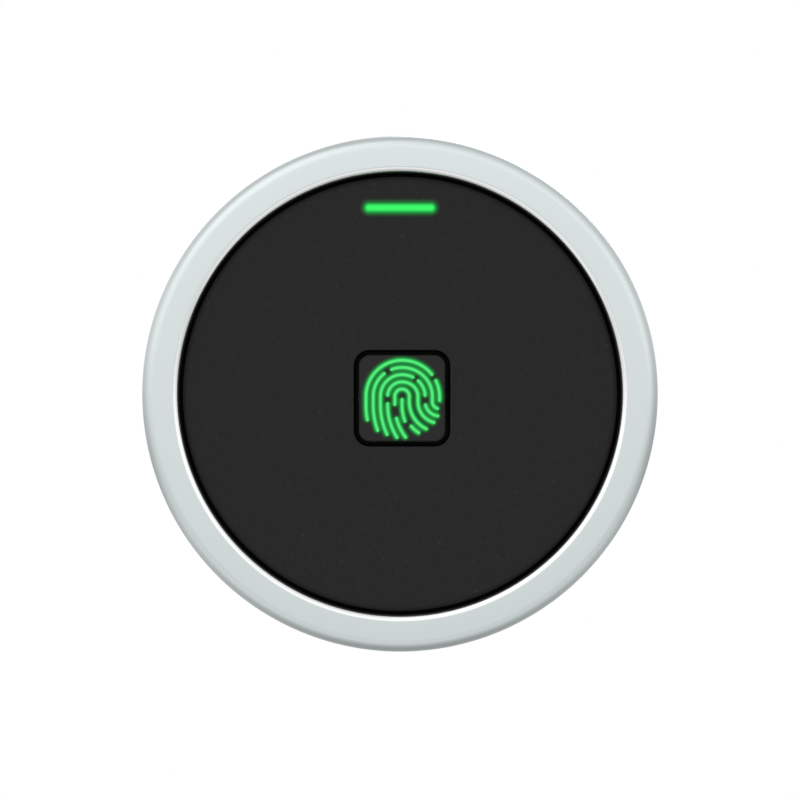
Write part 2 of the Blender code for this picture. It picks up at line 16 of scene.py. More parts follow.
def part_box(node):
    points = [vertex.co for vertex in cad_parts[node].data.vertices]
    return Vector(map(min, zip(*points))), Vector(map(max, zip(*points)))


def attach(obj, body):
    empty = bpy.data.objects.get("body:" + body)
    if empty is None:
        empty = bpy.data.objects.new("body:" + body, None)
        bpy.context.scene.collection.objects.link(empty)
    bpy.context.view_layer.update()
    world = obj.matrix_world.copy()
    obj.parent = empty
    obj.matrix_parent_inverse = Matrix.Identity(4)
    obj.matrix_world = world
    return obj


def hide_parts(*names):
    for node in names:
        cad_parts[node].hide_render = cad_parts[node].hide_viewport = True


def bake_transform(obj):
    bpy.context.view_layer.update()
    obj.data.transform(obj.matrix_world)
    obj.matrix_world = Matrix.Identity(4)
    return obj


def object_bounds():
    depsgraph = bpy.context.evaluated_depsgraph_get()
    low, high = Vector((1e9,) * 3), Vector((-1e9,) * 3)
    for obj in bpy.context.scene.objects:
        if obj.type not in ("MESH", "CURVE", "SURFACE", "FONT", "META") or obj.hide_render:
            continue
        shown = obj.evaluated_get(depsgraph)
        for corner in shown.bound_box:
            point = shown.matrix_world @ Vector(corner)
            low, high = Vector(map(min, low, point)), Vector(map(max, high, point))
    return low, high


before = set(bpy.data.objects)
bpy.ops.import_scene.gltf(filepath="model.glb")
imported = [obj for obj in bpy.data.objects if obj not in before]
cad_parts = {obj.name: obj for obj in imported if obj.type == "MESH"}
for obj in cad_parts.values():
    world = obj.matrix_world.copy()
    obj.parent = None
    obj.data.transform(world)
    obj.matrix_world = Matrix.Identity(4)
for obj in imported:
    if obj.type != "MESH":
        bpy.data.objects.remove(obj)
cad_low, cad_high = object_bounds()


# Studio
# A pale floor well below the terminal, large soft boxes above and beside it, and a long lens that
# looks squarely at the face. The room is bright in front, dimmer below and behind.

view_width = 0.1174  # what the camera takes in at the face
view_drop = 0.0009  # the camera looks at a point this far below the centre
lens_mm = 120.0
camera_data = bpy.data.cameras.new("camera")
camera_data.lens = lens_mm
camera = bpy.data.objects.new("camera", camera_data)
camera_distance = view_width * lens_mm / camera_data.sensor_width
camera.location = (0.0, cad_low.y - camera_distance, -view_drop)
camera.rotation_euler = (math.pi / 2, 0.0, 0.0)
bpy.context.collection.objects.link(camera)
bpy.context.scene.camera = camera
bpy.context.scene.view_settings.view_transform = "Standard"


def linear(code):
    """A hex sRGB colour as linear red, green, blue and alpha."""
    parts = [int(code[i:i + 2], 16) / 255 for i in (1, 3, 5)]
    return (*[p / 12.92 if p <= 0.04045 else ((p + 0.055) / 1.055) ** 2.4 for p in parts], 1.0)


def add(tree, kind, inputs=None, **settings):
    """Add a node with its settings. An input takes a value, a socket, or a node's first output."""
    made = tree.nodes.new(kind)
    for name, value in settings.items():
        setattr(made, name, value)
    for name, value in (inputs or {}).items():
        if isinstance(value, bpy.types.Node):
            value = next(socket for socket in value.outputs if socket.enabled)
        if isinstance(value, bpy.types.NodeSocket):
            tree.links.new(value, made.inputs[name])
        else:
            made.inputs[name].default_value = value
    return made


def new_finish(name, **shader_inputs):
    """A material with a Principled shader. An underscore in an input's name stands for a space."""
    finish = bpy.data.materials.new(name)
    finish.use_nodes = True
    shader = finish.node_tree.nodes["Principled BSDF"]
    for socket, value in shader_inputs.items():
        shader.inputs[socket.replace("_", " ")].default_value = value
    return finish, finish.node_tree, shader


def drive(shader, **nodes):
    """Link each node's first output to the shader's input of that name."""
    for socket, node in nodes.items():
        output = next(found for found in node.outputs if found.enabled)
        shader.id_data.links.new(output, shader.inputs[socket.replace("_", " ")])


def soft_box(name, place, aim, size, watts):
    """A square area light at a place, turned towards a point."""
    data = bpy.data.lights.new(name, "AREA")
    data.size = size
    data.energy = watts
    light = bpy.data.objects.new(name, data)
    light.location = place
    light.rotation_euler = (Vector(aim) - Vector(place)).to_track_quat("-Z", "Y").to_euler()
    bpy.context.collection.objects.link(light)


face_centre = (0.0, cad_low.y, 0.0)
soft_box("key_light", (-0.30, -0.40, 0.55), face_centre, 0.60, 0.32)
soft_box("fill_light", (0.45, -0.50, 0.10), face_centre, 0.40, 0.05)
soft_box("back_light", (0.20, 0.60, 0.45), face_centre, 0.40, 1.0)

room = bpy.data.worlds.new("room")
room.use_nodes = True
tree = room.node_tree
tree.nodes.clear()
direction = add(tree, "ShaderNodeSeparateXYZ", {0: add(tree, "ShaderNodeTexCoord").outputs["Generated"]})
upward = add(tree, "ShaderNodeMapRange", {"Value": direction.outputs["Z"], "From Min": -1.0})
backward = add(tree, "ShaderNodeMapRange", {"Value": direction.outputs["Y"], "From Min": -1.0})
sideways = add(tree, "ShaderNodeMapRange", {
    "Value": direction.outputs["X"], "From Min": -1.0, "To Min": 1.08, "To Max": 0.92,
})
# Each share of the light runs smoothly through (position, level) stops, from down to up and from
# front to back. The first two stops are a ramp's own ends.
from_above = [
    (0.0, 0.50), (1.0, 0.82), (0.25, 0.86), (0.36, 0.66), (0.46, 0.74), (0.52, 0.92), (0.58, 1.05),
    (0.70, 1.03),
]
from_front = [(0.0, 1.0), (1.0, 0.62), (0.25, 0.90), (0.5, 0.70)]
shares = []
for place, stops in ((upward, from_above), (backward, from_front)):
    share = add(tree, "ShaderNodeValToRGB", {"Fac": place})
    elements = share.color_ramp.elements
    for number, (position, brightness) in enumerate(stops):
        stop = elements[number] if number < 2 else elements.new(position)
        stop.position = position
        stop.color = (brightness, brightness, brightness, 1.0)
    shares.append(share)
level = add(tree, "ShaderNodeMath", {0: shares[0], 1: shares[1]}, operation="MULTIPLY")
level = add(tree, "ShaderNodeMath", {0: level, 1: sideways}, operation="MULTIPLY")
room_light = add(tree, "ShaderNodeBackground", {"Color": level, "Strength": 1.12})
backdrop = add(tree, "ShaderNodeBackground", {"Color": (1.0, 1.0, 1.0, 1.0), "Strength": 1.0})
seen = add(tree, "ShaderNodeMixShader", {
    0: add(tree, "ShaderNodeLightPath").outputs["Is Camera Ray"],
    1: room_light, 2: backdrop,
})
add(tree, "ShaderNodeOutputWorld", {"Surface": seen})
bpy.context.scene.world = room

floor_depth = 0.60
floor_radius = 1.5
shape = bmesh.new()
bmesh.ops.create_circle(shape, cap_ends=True, segments=96, radius=floor_radius)
bmesh.ops.translate(shape, verts=shape.verts, vec=(0.0, 0.0, -floor_depth))
floor_mesh = bpy.data.meshes.new("floor")
shape.to_mesh(floor_mesh)
shape.free()
floor = bpy.data.objects.new("floor", floor_mesh)
bpy.context.collection.objects.link(floor)
# Matt paint scatters the light evenly, so the floor is one soft, pale tone.
floor_paint, tree, shader = new_finish("matt_floor_paint", Base_Color=linear("#D9D9D7"), Roughness=0.8)
floor_mesh.materials.append(floor_paint)
floor.visible_glossy = False  # the metal mirrors the room, not the floor


# Wall plate
# An injection-moulded dish of black ABS. It is screwed to the wall box through two slots, its rim
# centres the reader, and a groove in the rim takes the tip of the grub screw.


def rounded(corners, steps=5):
    """A closed outline from (x, y, rounding) corners, with an arc at each corner that has one."""
    points = []
    for before, corner, after in zip(corners[-1:] + corners[:-1], corners, corners[1:] + corners[:1]):
        here = Vector(corner[:2])
        if not corner[2]:
            points.append(tuple(here))
            continue
        back = (Vector(before[:2]) - here).normalized()
        on = (Vector(after[:2]) - here).normalized()
        half = back.angle(on) / 2
        centre = here + (back + on).normalized() * corner[2] / math.sin(half)
        first = back * corner[2] / math.tan(half) + here - centre
        sweep = first.angle_signed(on * corner[2] / math.tan(half) + here - centre)
        for step in range(steps + 1):
            turn = -sweep * step / steps
            points.append((
                centre.x + first.x * math.cos(turn) - first.y * math.sin(turn),
                centre.y + first.x * math.sin(turn) + first.y * math.cos(turn),
            ))
    return points


def turned(outline, sides=192):
    """A bench shape: a closed (radius, height) outline turned about Z."""
    shape = bmesh.new()
    points = [shape.verts.new((radius, 0.0, height)) for radius, height in outline]
    edges = [
        shape.edges.new((first, second))
        for first, second in zip(points, points[1:] + points[:1])
        if first.co.x > 0 or second.co.x > 0
    ]
    bmesh.ops.spin(
        shape, geom=points + edges, cent=(0, 0, 0), axis=(0, 0, 1),
        angle=math.tau, steps=sides, use_merge=True,
    )
    bmesh.ops.remove_doubles(shape, verts=shape.verts, dist=1e-7)
    hubs = [vertex for vertex in shape.verts if vertex.co.xy.length < 1e-7]
    bmesh.ops.dissolve_verts(shape, verts=hubs)
    bmesh.ops.recalc_face_normals(shape, faces=shape.faces)
    return shape


def lofted(levels, ring=False, steps=12, divide=1):
    """A bench shape through rounded rectangles, each (width, height, corner, level)."""
    shape = bmesh.new()
    loops = []
    for width, height, corner, level in levels:
        half_x, half_y = width / 2, height / 2
        corners = []
        for side_x, side_y in ((1, 1), (-1, 1), (-1, -1), (1, -1)):
            corners.append((side_x * half_x, side_y * half_y, corner))
            for part in range(1, divide):
                share = 1 - 2 * part / divide
                if side_x == side_y:
                    corners.append((side_x * share * (half_x - corner), side_y * half_y, 0.0))
                else:
                    corners.append((side_x * half_x, side_y * share * (half_y - corner), 0.0))
        loops.append([shape.verts.new((x, y, level)) for x, y in rounded(corners, steps)])
    pairs = list(zip(loops, loops[1:]))
    if ring:
        pairs.append((loops[-1], loops[0]))
    else:
        shape.faces.new(loops[0])
        shape.faces.new(loops[-1])
    for lower, upper in pairs:
        for i in range(len(lower)):
            shape.faces.new((lower[i - 1], lower[i], upper[i], upper[i - 1]))
    bmesh.ops.remove_doubles(shape, verts=shape.verts, dist=1e-7)
    bmesh.ops.recalc_face_normals(shape, faces=shape.faces)
    return shape


def bench_object(name, shape, place=(0.0, 0.0, 0.0)):
    """An object on the bench, made of a shape moved to its place."""
    bmesh.ops.translate(shape, verts=shape.verts, vec=place)
    mesh = bpy.data.meshes.new(name)
    shape.to_mesh(mesh)
    shape.free()
    piece = bpy.data.objects.new(name, mesh)
    bpy.context.collection.objects.link(piece)
    return piece


def carve(piece, tools, operation="DIFFERENCE"):
    """Cut the tools out of a piece, or join them to it."""
    for tool in tools:
        modifier = piece.modifiers.new(tool.name, "BOOLEAN")
        modifier.operation = operation
        modifier.object = tool
    settle(piece)
    for tool in tools:
        bpy.data.objects.remove(tool)


def settle(piece):
    """Make what a piece's modifiers give its plain mesh."""
    graph = bpy.context.evaluated_depsgraph_get()
    plain = bpy.data.meshes.new_from_object(piece.evaluated_get(graph), depsgraph=graph)
    piece.modifiers.clear()
    piece.data = plain


def stand(piece, finish):
    """Stand a bench piece up in its finish, with smooth round faces, flat flats and crisp edges."""
    piece.data.transform(Matrix.Rotation(math.pi / 2, 4, "X"))
    piece.data.shade_smooth()
    piece.data.set_sharp_from_angle(angle=math.radians(30))
    modifier = piece.modifiers.new("flat_flats", "WEIGHTED_NORMAL")
    modifier.keep_sharp = True
    settle(piece)
    piece.data.materials.clear()
    piece.data.materials.append(finish)


def fit(piece, finish, body, slot, *nodes):
    """Stand a bench piece up in its finish, on a body, in place of the CAD nodes given."""
    stand(piece, finish)
    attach(piece, body)
    if nodes:
        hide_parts(*nodes)


def geometry_tree(name, sizes):
    """A Geometry Nodes tree with one named input for each size. Gives the tree and its inputs."""
    tree = bpy.data.node_groups.new(name, "GeometryNodeTree")
    tree.interface.new_socket("Geometry", in_out="INPUT", socket_type="NodeSocketGeometry")
    tree.interface.new_socket("Geometry", in_out="OUTPUT", socket_type="NodeSocketGeometry")
    for size, value in sizes.items():
        socket = tree.interface.new_socket(size, in_out="INPUT", socket_type="NodeSocketFloat")
        socket.default_value = value
    return tree, tree.nodes.new("NodeGroupInput").outputs


def deliver(tree, shape):
    """End a tree with real geometry."""
    real = add(tree, "GeometryNodeRealizeInstances", {"Geometry": shape})
    add(tree, "NodeGroupOutput", {"Geometry": real})


def copies(tree, points, part):
    """End a tree with a copy of a part at each point, turned by the point's "turn", if it has one."""
    turn = add(tree, "GeometryNodeInputNamedAttribute", {"Name": "turn"}, data_type="FLOAT")
    deliver(tree, add(tree, "GeometryNodeInstanceOnPoints", {
        "Points": points, "Instance": part, "Rotation": add(tree, "ShaderNodeCombineXYZ", {"Z": turn}),
    }))


def host_at(name, points=((0.0, 0.0, 0.0),), **values):
    """A helper object with a point at each place and, by name, one number for each point."""
    mesh = bpy.data.meshes.new(name)
    mesh.from_pydata(points, [], [])
    for value, numbers in values.items():
        mesh.attributes.new(value, "FLOAT", "POINT").data.foreach_set("value", numbers)
    host = bpy.data.objects.new(name, mesh)
    bpy.context.collection.objects.link(host)
    return host


def grow(host, name, tree, sizes):
    """Run a tree on a host with these sizes, and keep the result as a plain mesh piece."""
    modifier = host.modifiers.new(tree.name, "NODES")
    modifier.node_group = tree
    for socket in tree.interface.items_tree:
        if socket.in_out == "INPUT" and socket.name in sizes:
            modifier[socket.identifier] = sizes[socket.name]
    graph = bpy.context.evaluated_depsgraph_get()
    plain = bpy.data.meshes.new_from_object(host.evaluated_get(graph), depsgraph=graph)
    plain.name = name
    host.modifiers.remove(modifier)
    bpy.data.objects.remove(host)
    piece = bpy.data.objects.new(name, plain)
    bpy.context.collection.objects.link(piece)
    return piece


def peg(name, radius, bottom, top, place, sides=32):
    """A plain round tool along the bench's Z."""
    profile = [(0.0, bottom), (radius, bottom), (radius, top), (0.0, top)]
    return bench_object(name, turned(profile, sides), place)


low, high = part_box("wall_plate")
rim_outer = high.x
rim_inner = rim_outer - 0.0015
rim_front = -low.y
plate_front = 0.0016
plate_opening = 0.0120
edge = 0.0003
coring = 0.0006  # depth of the recess in its back
core_inner, core_outer = plate_opening + 0.0025, rim_inner - 0.0012
plate = bench_object("wall_plate_moulding", turned(rounded([
    (plate_opening, 0.0, edge), (core_inner, 0.0, 0.0001), (core_inner, coring, 0.0002),
    (core_outer, coring, 0.0002), (core_outer, 0.0, 0.0001),
    (rim_outer, 0.0, edge), (rim_outer, rim_front, edge),
    (rim_inner, rim_front, edge), (rim_inner, plate_front, 0.0008), (plate_opening, plate_front, edge),
])))
# Stiffening ribs run from the opening to the rim, and cross the recess. The same tree makes the
# small ceramic parts on the board, and its own sizes are theirs.
block_sizes = {"Length": 0.0010, "Width": 0.0005, "Height": 0.00045}
block_tree, size = geometry_tree("blocks", block_sizes)
copies(block_tree, size["Geometry"], add(block_tree, "GeometryNodeMeshCube", {
    "Size": add(block_tree, "ShaderNodeCombineXYZ", {
        "X": size["Length"], "Y": size["Width"], "Z": size["Height"],
    }),
}))
rib_back, rib_front = 0.00005, plate_front + 0.0011
rib_middle = (core_inner + core_outer) / 2
rib_turns = [math.radians(22.5 + 45 * number) for number in range(8)]
rib_host = host_at("rib_host", [
    (rib_middle * math.cos(turn), rib_middle * math.sin(turn), (rib_back + rib_front) / 2)
    for turn in rib_turns
], turn=rib_turns)
carve(plate, [grow(rib_host, "rib_tool", block_tree, {
    "Length": core_outer - core_inner + 0.0002, "Width": 0.0011, "Height": rib_front - rib_back,
})], "UNION")

# A pad round each screw slot bears on the wall.
pad_width, pad_length, pad_reach = 0.0086, 0.0128, 0.0295
pads = [bench_object("pad_tool", lofted([
    (pad_width, pad_length, pad_width / 2, 0.00005),
    (pad_width, pad_length, pad_width / 2, plate_front - 0.0002),
]), (pad_reach * side, 0.0, 0.0)) for side in (-1, 1)]
carve(plate, pads, "UNION")
slot_width, slot_length, slot_reach = 0.0038, 0.0080, 0.0300
slots = []
for side in (-1, 1):
    tool = lofted([
        (slot_width + 0.0008, slot_length + 0.0008, slot_width / 2 + 0.0004, -0.0001),
        (slot_width, slot_length, slot_width / 2, 0.0003),
        (slot_width, slot_length, slot_width / 2, plate_front + 0.001),
    ])
    slots.append(bench_object("slot_tool", tool, (side * slot_reach, 0.0, 0.0)))
groove_width, groove_depth = 0.0034, 0.0010
groove_back = 0.00195
groove = bench_object("groove_tool", lofted([
    (groove_width, 2 * groove_depth, 0.0003, groove_back),
    (groove_width, 2 * groove_depth, 0.0003, rim_front + 0.001),
]), (0.0, -rim_outer, 0.0))
carve(plate, slots + [groove])

# Textured ABS is a neutral black with a low, slightly streaky sheen.
black_abs, tree, shader = new_finish(
    "moulded_black_abs", Base_Color=linear("#2B2B2D"), Roughness=0.55, IOR=1.53
)
# Spark-eroded mould texture, about 0.25 mm from peak to peak, with faint flow marks.
place = add(tree, "ShaderNodeTexCoord").outputs["Object"]
grain = add(tree, "ShaderNodeTexNoise", {"Vector": place, "Scale": 1 / 0.00025, "Detail": 2.0})
flow = add(tree, "ShaderNodeTexNoise", {"Vector": place, "Scale": 1 / 0.012, "Detail": 3.0})
sheen = add(tree, "ShaderNodeMapRange", {"Value": flow, "To Min": 0.46, "To Max": 0.64})
drive(shader, Roughness=sheen)
bump = add(tree, "ShaderNodeBump", {"Height": grain, "Strength": 0.35, "Distance": 0.00004})
drive(shader, Normal=bump)
tint = add(tree, "ShaderNodeMix", {
    "Factor": flow, "A": linear("#29292B"), "B": linear("#2E2E31"),
}, data_type="RGBA")
drive(shader, Base_Color=tint)
fit(plate, black_abs, "wall_side", "black_plastic", "wall_plate")


# Wall gasket
# A die-cut ring of closed-cell EPDM foam between the reader's edge and the wall. Its cut edge
# shows the cells.

low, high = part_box("wall_gasket")
gasket_inner = rim_outer + 0.00001  # the foam is stretched round the plate's rim
gasket = bench_object("wall_gasket_foam", turned(rounded([
    (gasket_inner, 0.0, 0.0001), (high.x, 0.0, 0.0001), (high.x, -low.y, 0.0002),
    (gasket_inner, -low.y, 0.0002),
], 3)))
# Cut cells trap the light, so the foam is a dead black with a fine open grain, 0.2 mm across.
foam, tree, shader = new_finish("epdm_foam", Base_Color=linear("#1B1B1B"), Roughness=0.9, IOR=1.5)
place = add(tree, "ShaderNodeTexCoord").outputs["Object"]
cells = add(tree, "ShaderNodeTexVoronoi", {"Vector": place, "Scale": 1 / 0.00022})
bump = add(tree, "ShaderNodeBump", {"Height": cells, "Strength": 0.6, "Distance": 0.00006})
drive(shader, Normal=bump)
# Painted shade: the hollows of the cells are darker.
painted_pore_shade = add(tree, "ShaderNodeMapRange", {"Value": cells, "From Max": 0.6})
shade = add(tree, "ShaderNodeMix", {
    "Factor": painted_pore_shade, "A": linear("#111111"), "B": linear("#222222"),
}, data_type="RGBA")
drive(shader, Base_Color=shade)
fit(gasket, foam, "wall_side", "foam", "wall_gasket")


# Housing
# A ring turned from aluminium bar, bead-blasted and anodised silver. The outer edge is rounded, and
# the inner edge is cut bright after anodising. Bosses inside take the board's and the cover's screws.

low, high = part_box("housing")
ring_radius = high.x
ring_front = -low.y
ring_back = -high.y
edge_rounding = 0.0018
lip_radius = 0.0335
lip_cut = 0.0010
bright_depth = 0.66 * lip_cut  # the well's black painted shade begins this far down the lip
well_radius = lip_radius - lip_cut
ledge_radius = 0.0300
cavity_radius = 0.0340
skirt_radius = 0.0357
panel_front = -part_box("face_panel")[0].y
ledge_front = panel_front - 0.0029
ledge_back = ledge_front - 0.0013
shoulder = 0.0080
ring = bench_object("housing_ring", turned(rounded([
    (skirt_radius, ring_back, 0.0002), (ring_radius, ring_back, 0.0003),
    (ring_radius, ring_front, edge_rounding), (well_radius, ring_front, lip_cut),
    (well_radius, ledge_front, 0.0),
    (ledge_radius, ledge_front, 0.0001), (ledge_radius, ledge_back, 0.0001),
    (cavity_radius, ledge_back, 0.0003), (cavity_radius, shoulder, 0.0),
    (skirt_radius, shoulder, 0.0002),
], 8), 256))
board_screws = [(0.0313, angle) for angle in (115, 235, 355)]
cover_screws = [(0.0314, angle) for angle in (55, 175, 295)]


def on_circle(spots):
    """Bench places from (radius, angle in degrees)."""
    return [(r * math.cos(math.radians(a)), r * math.sin(math.radians(a)), 0.0) for r, a in spots]


boss_foot = ledge_back + 0.0005  # the bosses run half a millimetre into the ledge
# A boss and its pilot hole are each (radius, back end, front end).
board_boss, board_pilot = (0.00225, 0.0150, boss_foot), (0.0013, 0.0140, 0.0172)
cover_boss, cover_pilot = (0.00275, 0.0074, boss_foot), (0.00155, 0.0070, 0.0126)
bosses, pilots = [], []
for spots, boss, pilot in (
    (board_screws, board_boss, board_pilot), (cover_screws, cover_boss, cover_pilot),
):
    for spot in on_circle(spots):
        bosses.append(peg("boss_tool", *boss, spot))
        pilots.append(peg("pilot_tool", *pilot, spot))
carve(ring, bosses, "UNION")
grub_height = 0.0035
grub_seat = 0.0352  # how far from the axis the grub screw's hole begins
grub_depth = ring_radius - grub_seat
grub_hole_radius = 0.00155
grub_tool = bench_object("grub_tool", turned([
    (0.0, 0.0), (grub_hole_radius, 0.0), (grub_hole_radius, grub_depth - 0.0002),
    (grub_hole_radius + 0.0006, grub_depth + 0.0004), (0.0, grub_depth + 0.0004),
], 40))
grub_place = Matrix.Translation((0.0, -grub_seat, grub_height))
grub_tool.data.transform(grub_place @ Matrix.Rotation(math.pi / 2, 4, "X"))
carve(ring, pilots + [grub_tool])

# Blasted and anodised metal has a soft silver glow and mirrors nothing sharply.
blasted, tree, shader = new_finish(
    "blasted_anodised_aluminium", Base_Color=linear("#D9E1E1"), Metallic=1.0, Roughness=0.30
)
# Bead blasting leaves dimples about 0.12 mm across. They only soften the gloss.
place = add(tree, "ShaderNodeTexCoord").outputs["Object"]
dimples = add(tree, "ShaderNodeTexVoronoi", {"Vector": place, "Scale": 1 / 0.00012}, feature="SMOOTH_F1")
bump = add(tree, "ShaderNodeBump", {"Height": dimples, "Strength": 0.10, "Distance": 0.00002})
drive(shader, Normal=bump)
handling = add(tree, "ShaderNodeTexNoise", {"Vector": place, "Scale": 1 / 0.009, "Detail": 3.0})
gloss = add(tree, "ShaderNodeMapRange", {"Value": handling, "To Min": 0.27, "To Max": 0.35})
drive(shader, Roughness=gloss)

# Metal cut by a diamond tool is mirror-bright, and draws a thin light line round the panel.
bright_cut, tree, shader = new_finish(
    "bright_cut_aluminium", Base_Color=linear("#F8F9F9"), Metallic=1.0, Roughness=0.16
)
# The tool leaves fine rings, 0.06 mm apart, round the axis.
spot = add(tree, "ShaderNodeSeparateXYZ", {0: add(tree, "ShaderNodeTexCoord").outputs["Object"]})
across = add(tree, "ShaderNodeMath", {0: spot.outputs["X"], 1: spot.outputs["X"]}, operation="MULTIPLY")
around = add(tree, "ShaderNodeMath", {
    0: spot.outputs["Z"], 1: spot.outputs["Z"], 2: across,
}, operation="MULTIPLY_ADD")
radius = add(tree, "ShaderNodeMath", {0: around}, operation="SQRT")
turning = add(tree, "ShaderNodeMath", {0: radius, 1: math.tau / 0.00006}, operation="MULTIPLY")
wave = add(tree, "ShaderNodeMath", {0: turning}, operation="SINE")
bump = add(tree, "ShaderNodeBump", {"Height": wave, "Strength": 0.05, "Distance": 0.000005})
drive(shader, Normal=bump)


def grained(
    name, colour, grain, gloss=None, shades=None, relief=None, stretch=None, cells=False, detail=2.0,
    **shader_inputs
):
    """A finish with a fine pattern of noise or of cells, whose grain is in metres.

    The pattern swings the roughness between the two levels of gloss, mixes two shades, or raises a
    relief of a (strength, depth).
    """
    finish, tree, shader = new_finish(name, Base_Color=linear(colour), **shader_inputs)
    place = add(tree, "ShaderNodeTexCoord").outputs["Object"]
    if stretch:
        place = add(tree, "ShaderNodeMapping", {"Vector": place, "Scale": stretch})
    if cells:
        pattern = add(tree, "ShaderNodeTexVoronoi", {"Vector": place, "Scale": 1 / grain})
    else:
        pattern = add(tree, "ShaderNodeTexNoise", {
            "Vector": place, "Scale": 1 / grain, "Detail": detail,
        })
    if gloss:
        level = add(tree, "ShaderNodeMapRange", {
            "Value": pattern, "To Min": gloss[0], "To Max": gloss[1],
        })
        drive(shader, Roughness=level)
    if shades:
        tint = add(tree, "ShaderNodeMix", {
            "Factor": pattern, "A": linear(shades[0]), "B": linear(shades[1]),
        }, data_type="RGBA")
        drive(shader, Base_Color=tint)
    if relief:
        bump = add(tree, "ShaderNodeBump", {
            "Height": pattern, "Strength": relief[0], "Distance": relief[1],
        })
        drive(shader, Normal=bump)
    return finish


# Painted shade: the well behind the bright edge, and the inner end of the lip, are near-black, standing in
# for the shade round the panel, so that no light line shows there.
painted_well_shade = grained(
    "painted_shade_black", "#101010", 0.0008, relief=(0.2, 0.00004), Roughness=0.8,
    Specular_IOR_Level=0.2,
)

fit(ring, blasted, "reader", "satin_metal", "housing")
ring.data.materials.append(bright_cut)
ring.data.materials.append(painted_well_shade)
# The lip's outer part takes the bright cut; deeper down, the lip and the well take the painted shade.
for face in ring.data.polygons:
    reach = math.hypot(face.center.x, face.center.z)
    level = -face.center.y
    if not ledge_radius + 0.0001 < reach < lip_radius or level > ring_front - 0.00001:
        continue
    if level > ring_front - bright_depth:
        face.material_index = 1
    elif level > ledge_front - 0.0001:
        face.material_index = 2


# Face panel
# A disc of matt black polycarbonate, glued into the ring's well. Its face has a very fine mould
# texture with a few bright specks, and light leaks a little into the edge of the light slot.

low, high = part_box("face_panel")
panel_radius = high.x
panel_back = panel_front - 0.0020
panel_edge = 0.0001
# width of the painted shadow round the panel's rim
rim_shadow_width = 0.0007
panel = bench_object("face_disc", turned(rounded([
    (0.0, panel_back, 0.0), (panel_radius, panel_back, 0.0001),
    (panel_radius, panel_front, panel_edge), (0.0, panel_front, 0.0),
], 6), 256))
window_low, window_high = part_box("sensor_cover")
sensor_x = (window_low.x + window_high.x) / 2
sensor_y = (window_low.z + window_high.z) / 2
bracket_reach = 0.0120
boss_spots = [(sensor_x + side * bracket_reach, sensor_y, 0.0) for side in (-1, 1)]
# As in the ring, a boss and its pilot hole are each (radius, back end, front end).
bracket_boss = (0.0021, panel_back - 0.002, panel_back + 0.0005)
bracket_pilot = (0.00105, panel_back - 0.003, panel_back - 0.0002)
carve(panel, [peg("boss_tool", *bracket_boss, spot) for spot in boss_spots], "UNION")
pilots = [peg("pilot_tool", *bracket_pilot, spot) for spot in boss_spots]
window_size, window_corner = 0.0142, 0.0023
window_tool = bench_object("window_tool", lofted([
    (window_size, window_size, window_corner, panel_back - 0.001),
    (window_size, window_size, window_corner, panel_front - 0.00012),
    (window_size + 0.0004, window_size + 0.0004, window_corner + 0.0002, panel_front + 0.00008),
]), (sensor_x, sensor_y, 0.0))
bar_low, bar_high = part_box("light_bar")
bar_y = (bar_low.z + bar_high.z) / 2
bar_length, bar_width = 0.01075, 0.00160
slot_gap = 0.00005
slot_tool = bench_object("slot_tool", lofted([
    (bar_length + 2 * slot_gap, bar_width + 2 * slot_gap, bar_width / 2 + slot_gap, panel_back - 0.001),
    (bar_length + 2 * slot_gap, bar_width + 2 * slot_gap, bar_width / 2 + slot_gap, panel_front + 0.001),
]), (0.0, bar_y, 0.0))
carve(panel, pilots + [window_tool, slot_tool])

# Textured polycarbonate is an even charcoal that hardly shines. Its pigment mottles it faintly,
# 0.8 mm across, with a few paler specks.
matt_black, tree, shader = new_finish(
    "matt_black_polycarbonate", Base_Color=linear("#222222"), Roughness=0.72, IOR=1.45,
    Specular_IOR_Level=0.22,
)
place = add(tree, "ShaderNodeTexCoord").outputs["Object"]
texture = add(tree, "ShaderNodeTexNoise", {"Vector": place, "Scale": 1 / 0.00030, "Detail": 2.0})
bump = add(tree, "ShaderNodeBump", {"Height": texture, "Strength": 0.15, "Distance": 0.00002})
drive(shader, Normal=bump)
mottle = add(tree, "ShaderNodeTexNoise", {"Vector": place, "Scale": 1 / 0.0008, "Detail": 3.0})
pigment = add(tree, "ShaderNodeMix", {
    "Factor": mottle, "A": linear("#1C1C1C"), "B": linear("#272727"),
}, data_type="RGBA")
specks = add(tree, "ShaderNodeTexNoise", {"Vector": place, "Scale": 1 / 0.0007, "Detail": 1.0})
rare = add(tree, "ShaderNodeMapRange", {"Value": specks, "From Min": 0.70, "From Max": 0.84})
shade = add(tree, "ShaderNodeMix", {
    "Factor": rare, "A": pigment, "B": linear("#2E2E2E"),
}, data_type="RGBA")
# Painted shade: the base colour darkens over the last 0.7 mm to the rim, standing in for the shadow that
# the ring's lip casts on the panel's edge.
middle = add(tree, "ShaderNodeVectorMath", {0: place, 1: (1.0, 0.0, 1.0)}, operation="MULTIPLY")
reach = add(tree, "ShaderNodeVectorMath", {0: middle}, operation="LENGTH")
rim = add(tree, "ShaderNodeMapRange", {
    "Value": reach, "From Min": panel_radius - rim_shadow_width, "From Max": panel_radius,
})
painted_rim_shadow = add(tree, "ShaderNodeMix", {
    "Factor": rim, "A": shade, "B": linear("#0A0A0A"),
}, data_type="RGBA")
drive(shader, Base_Color=painted_rim_shadow)


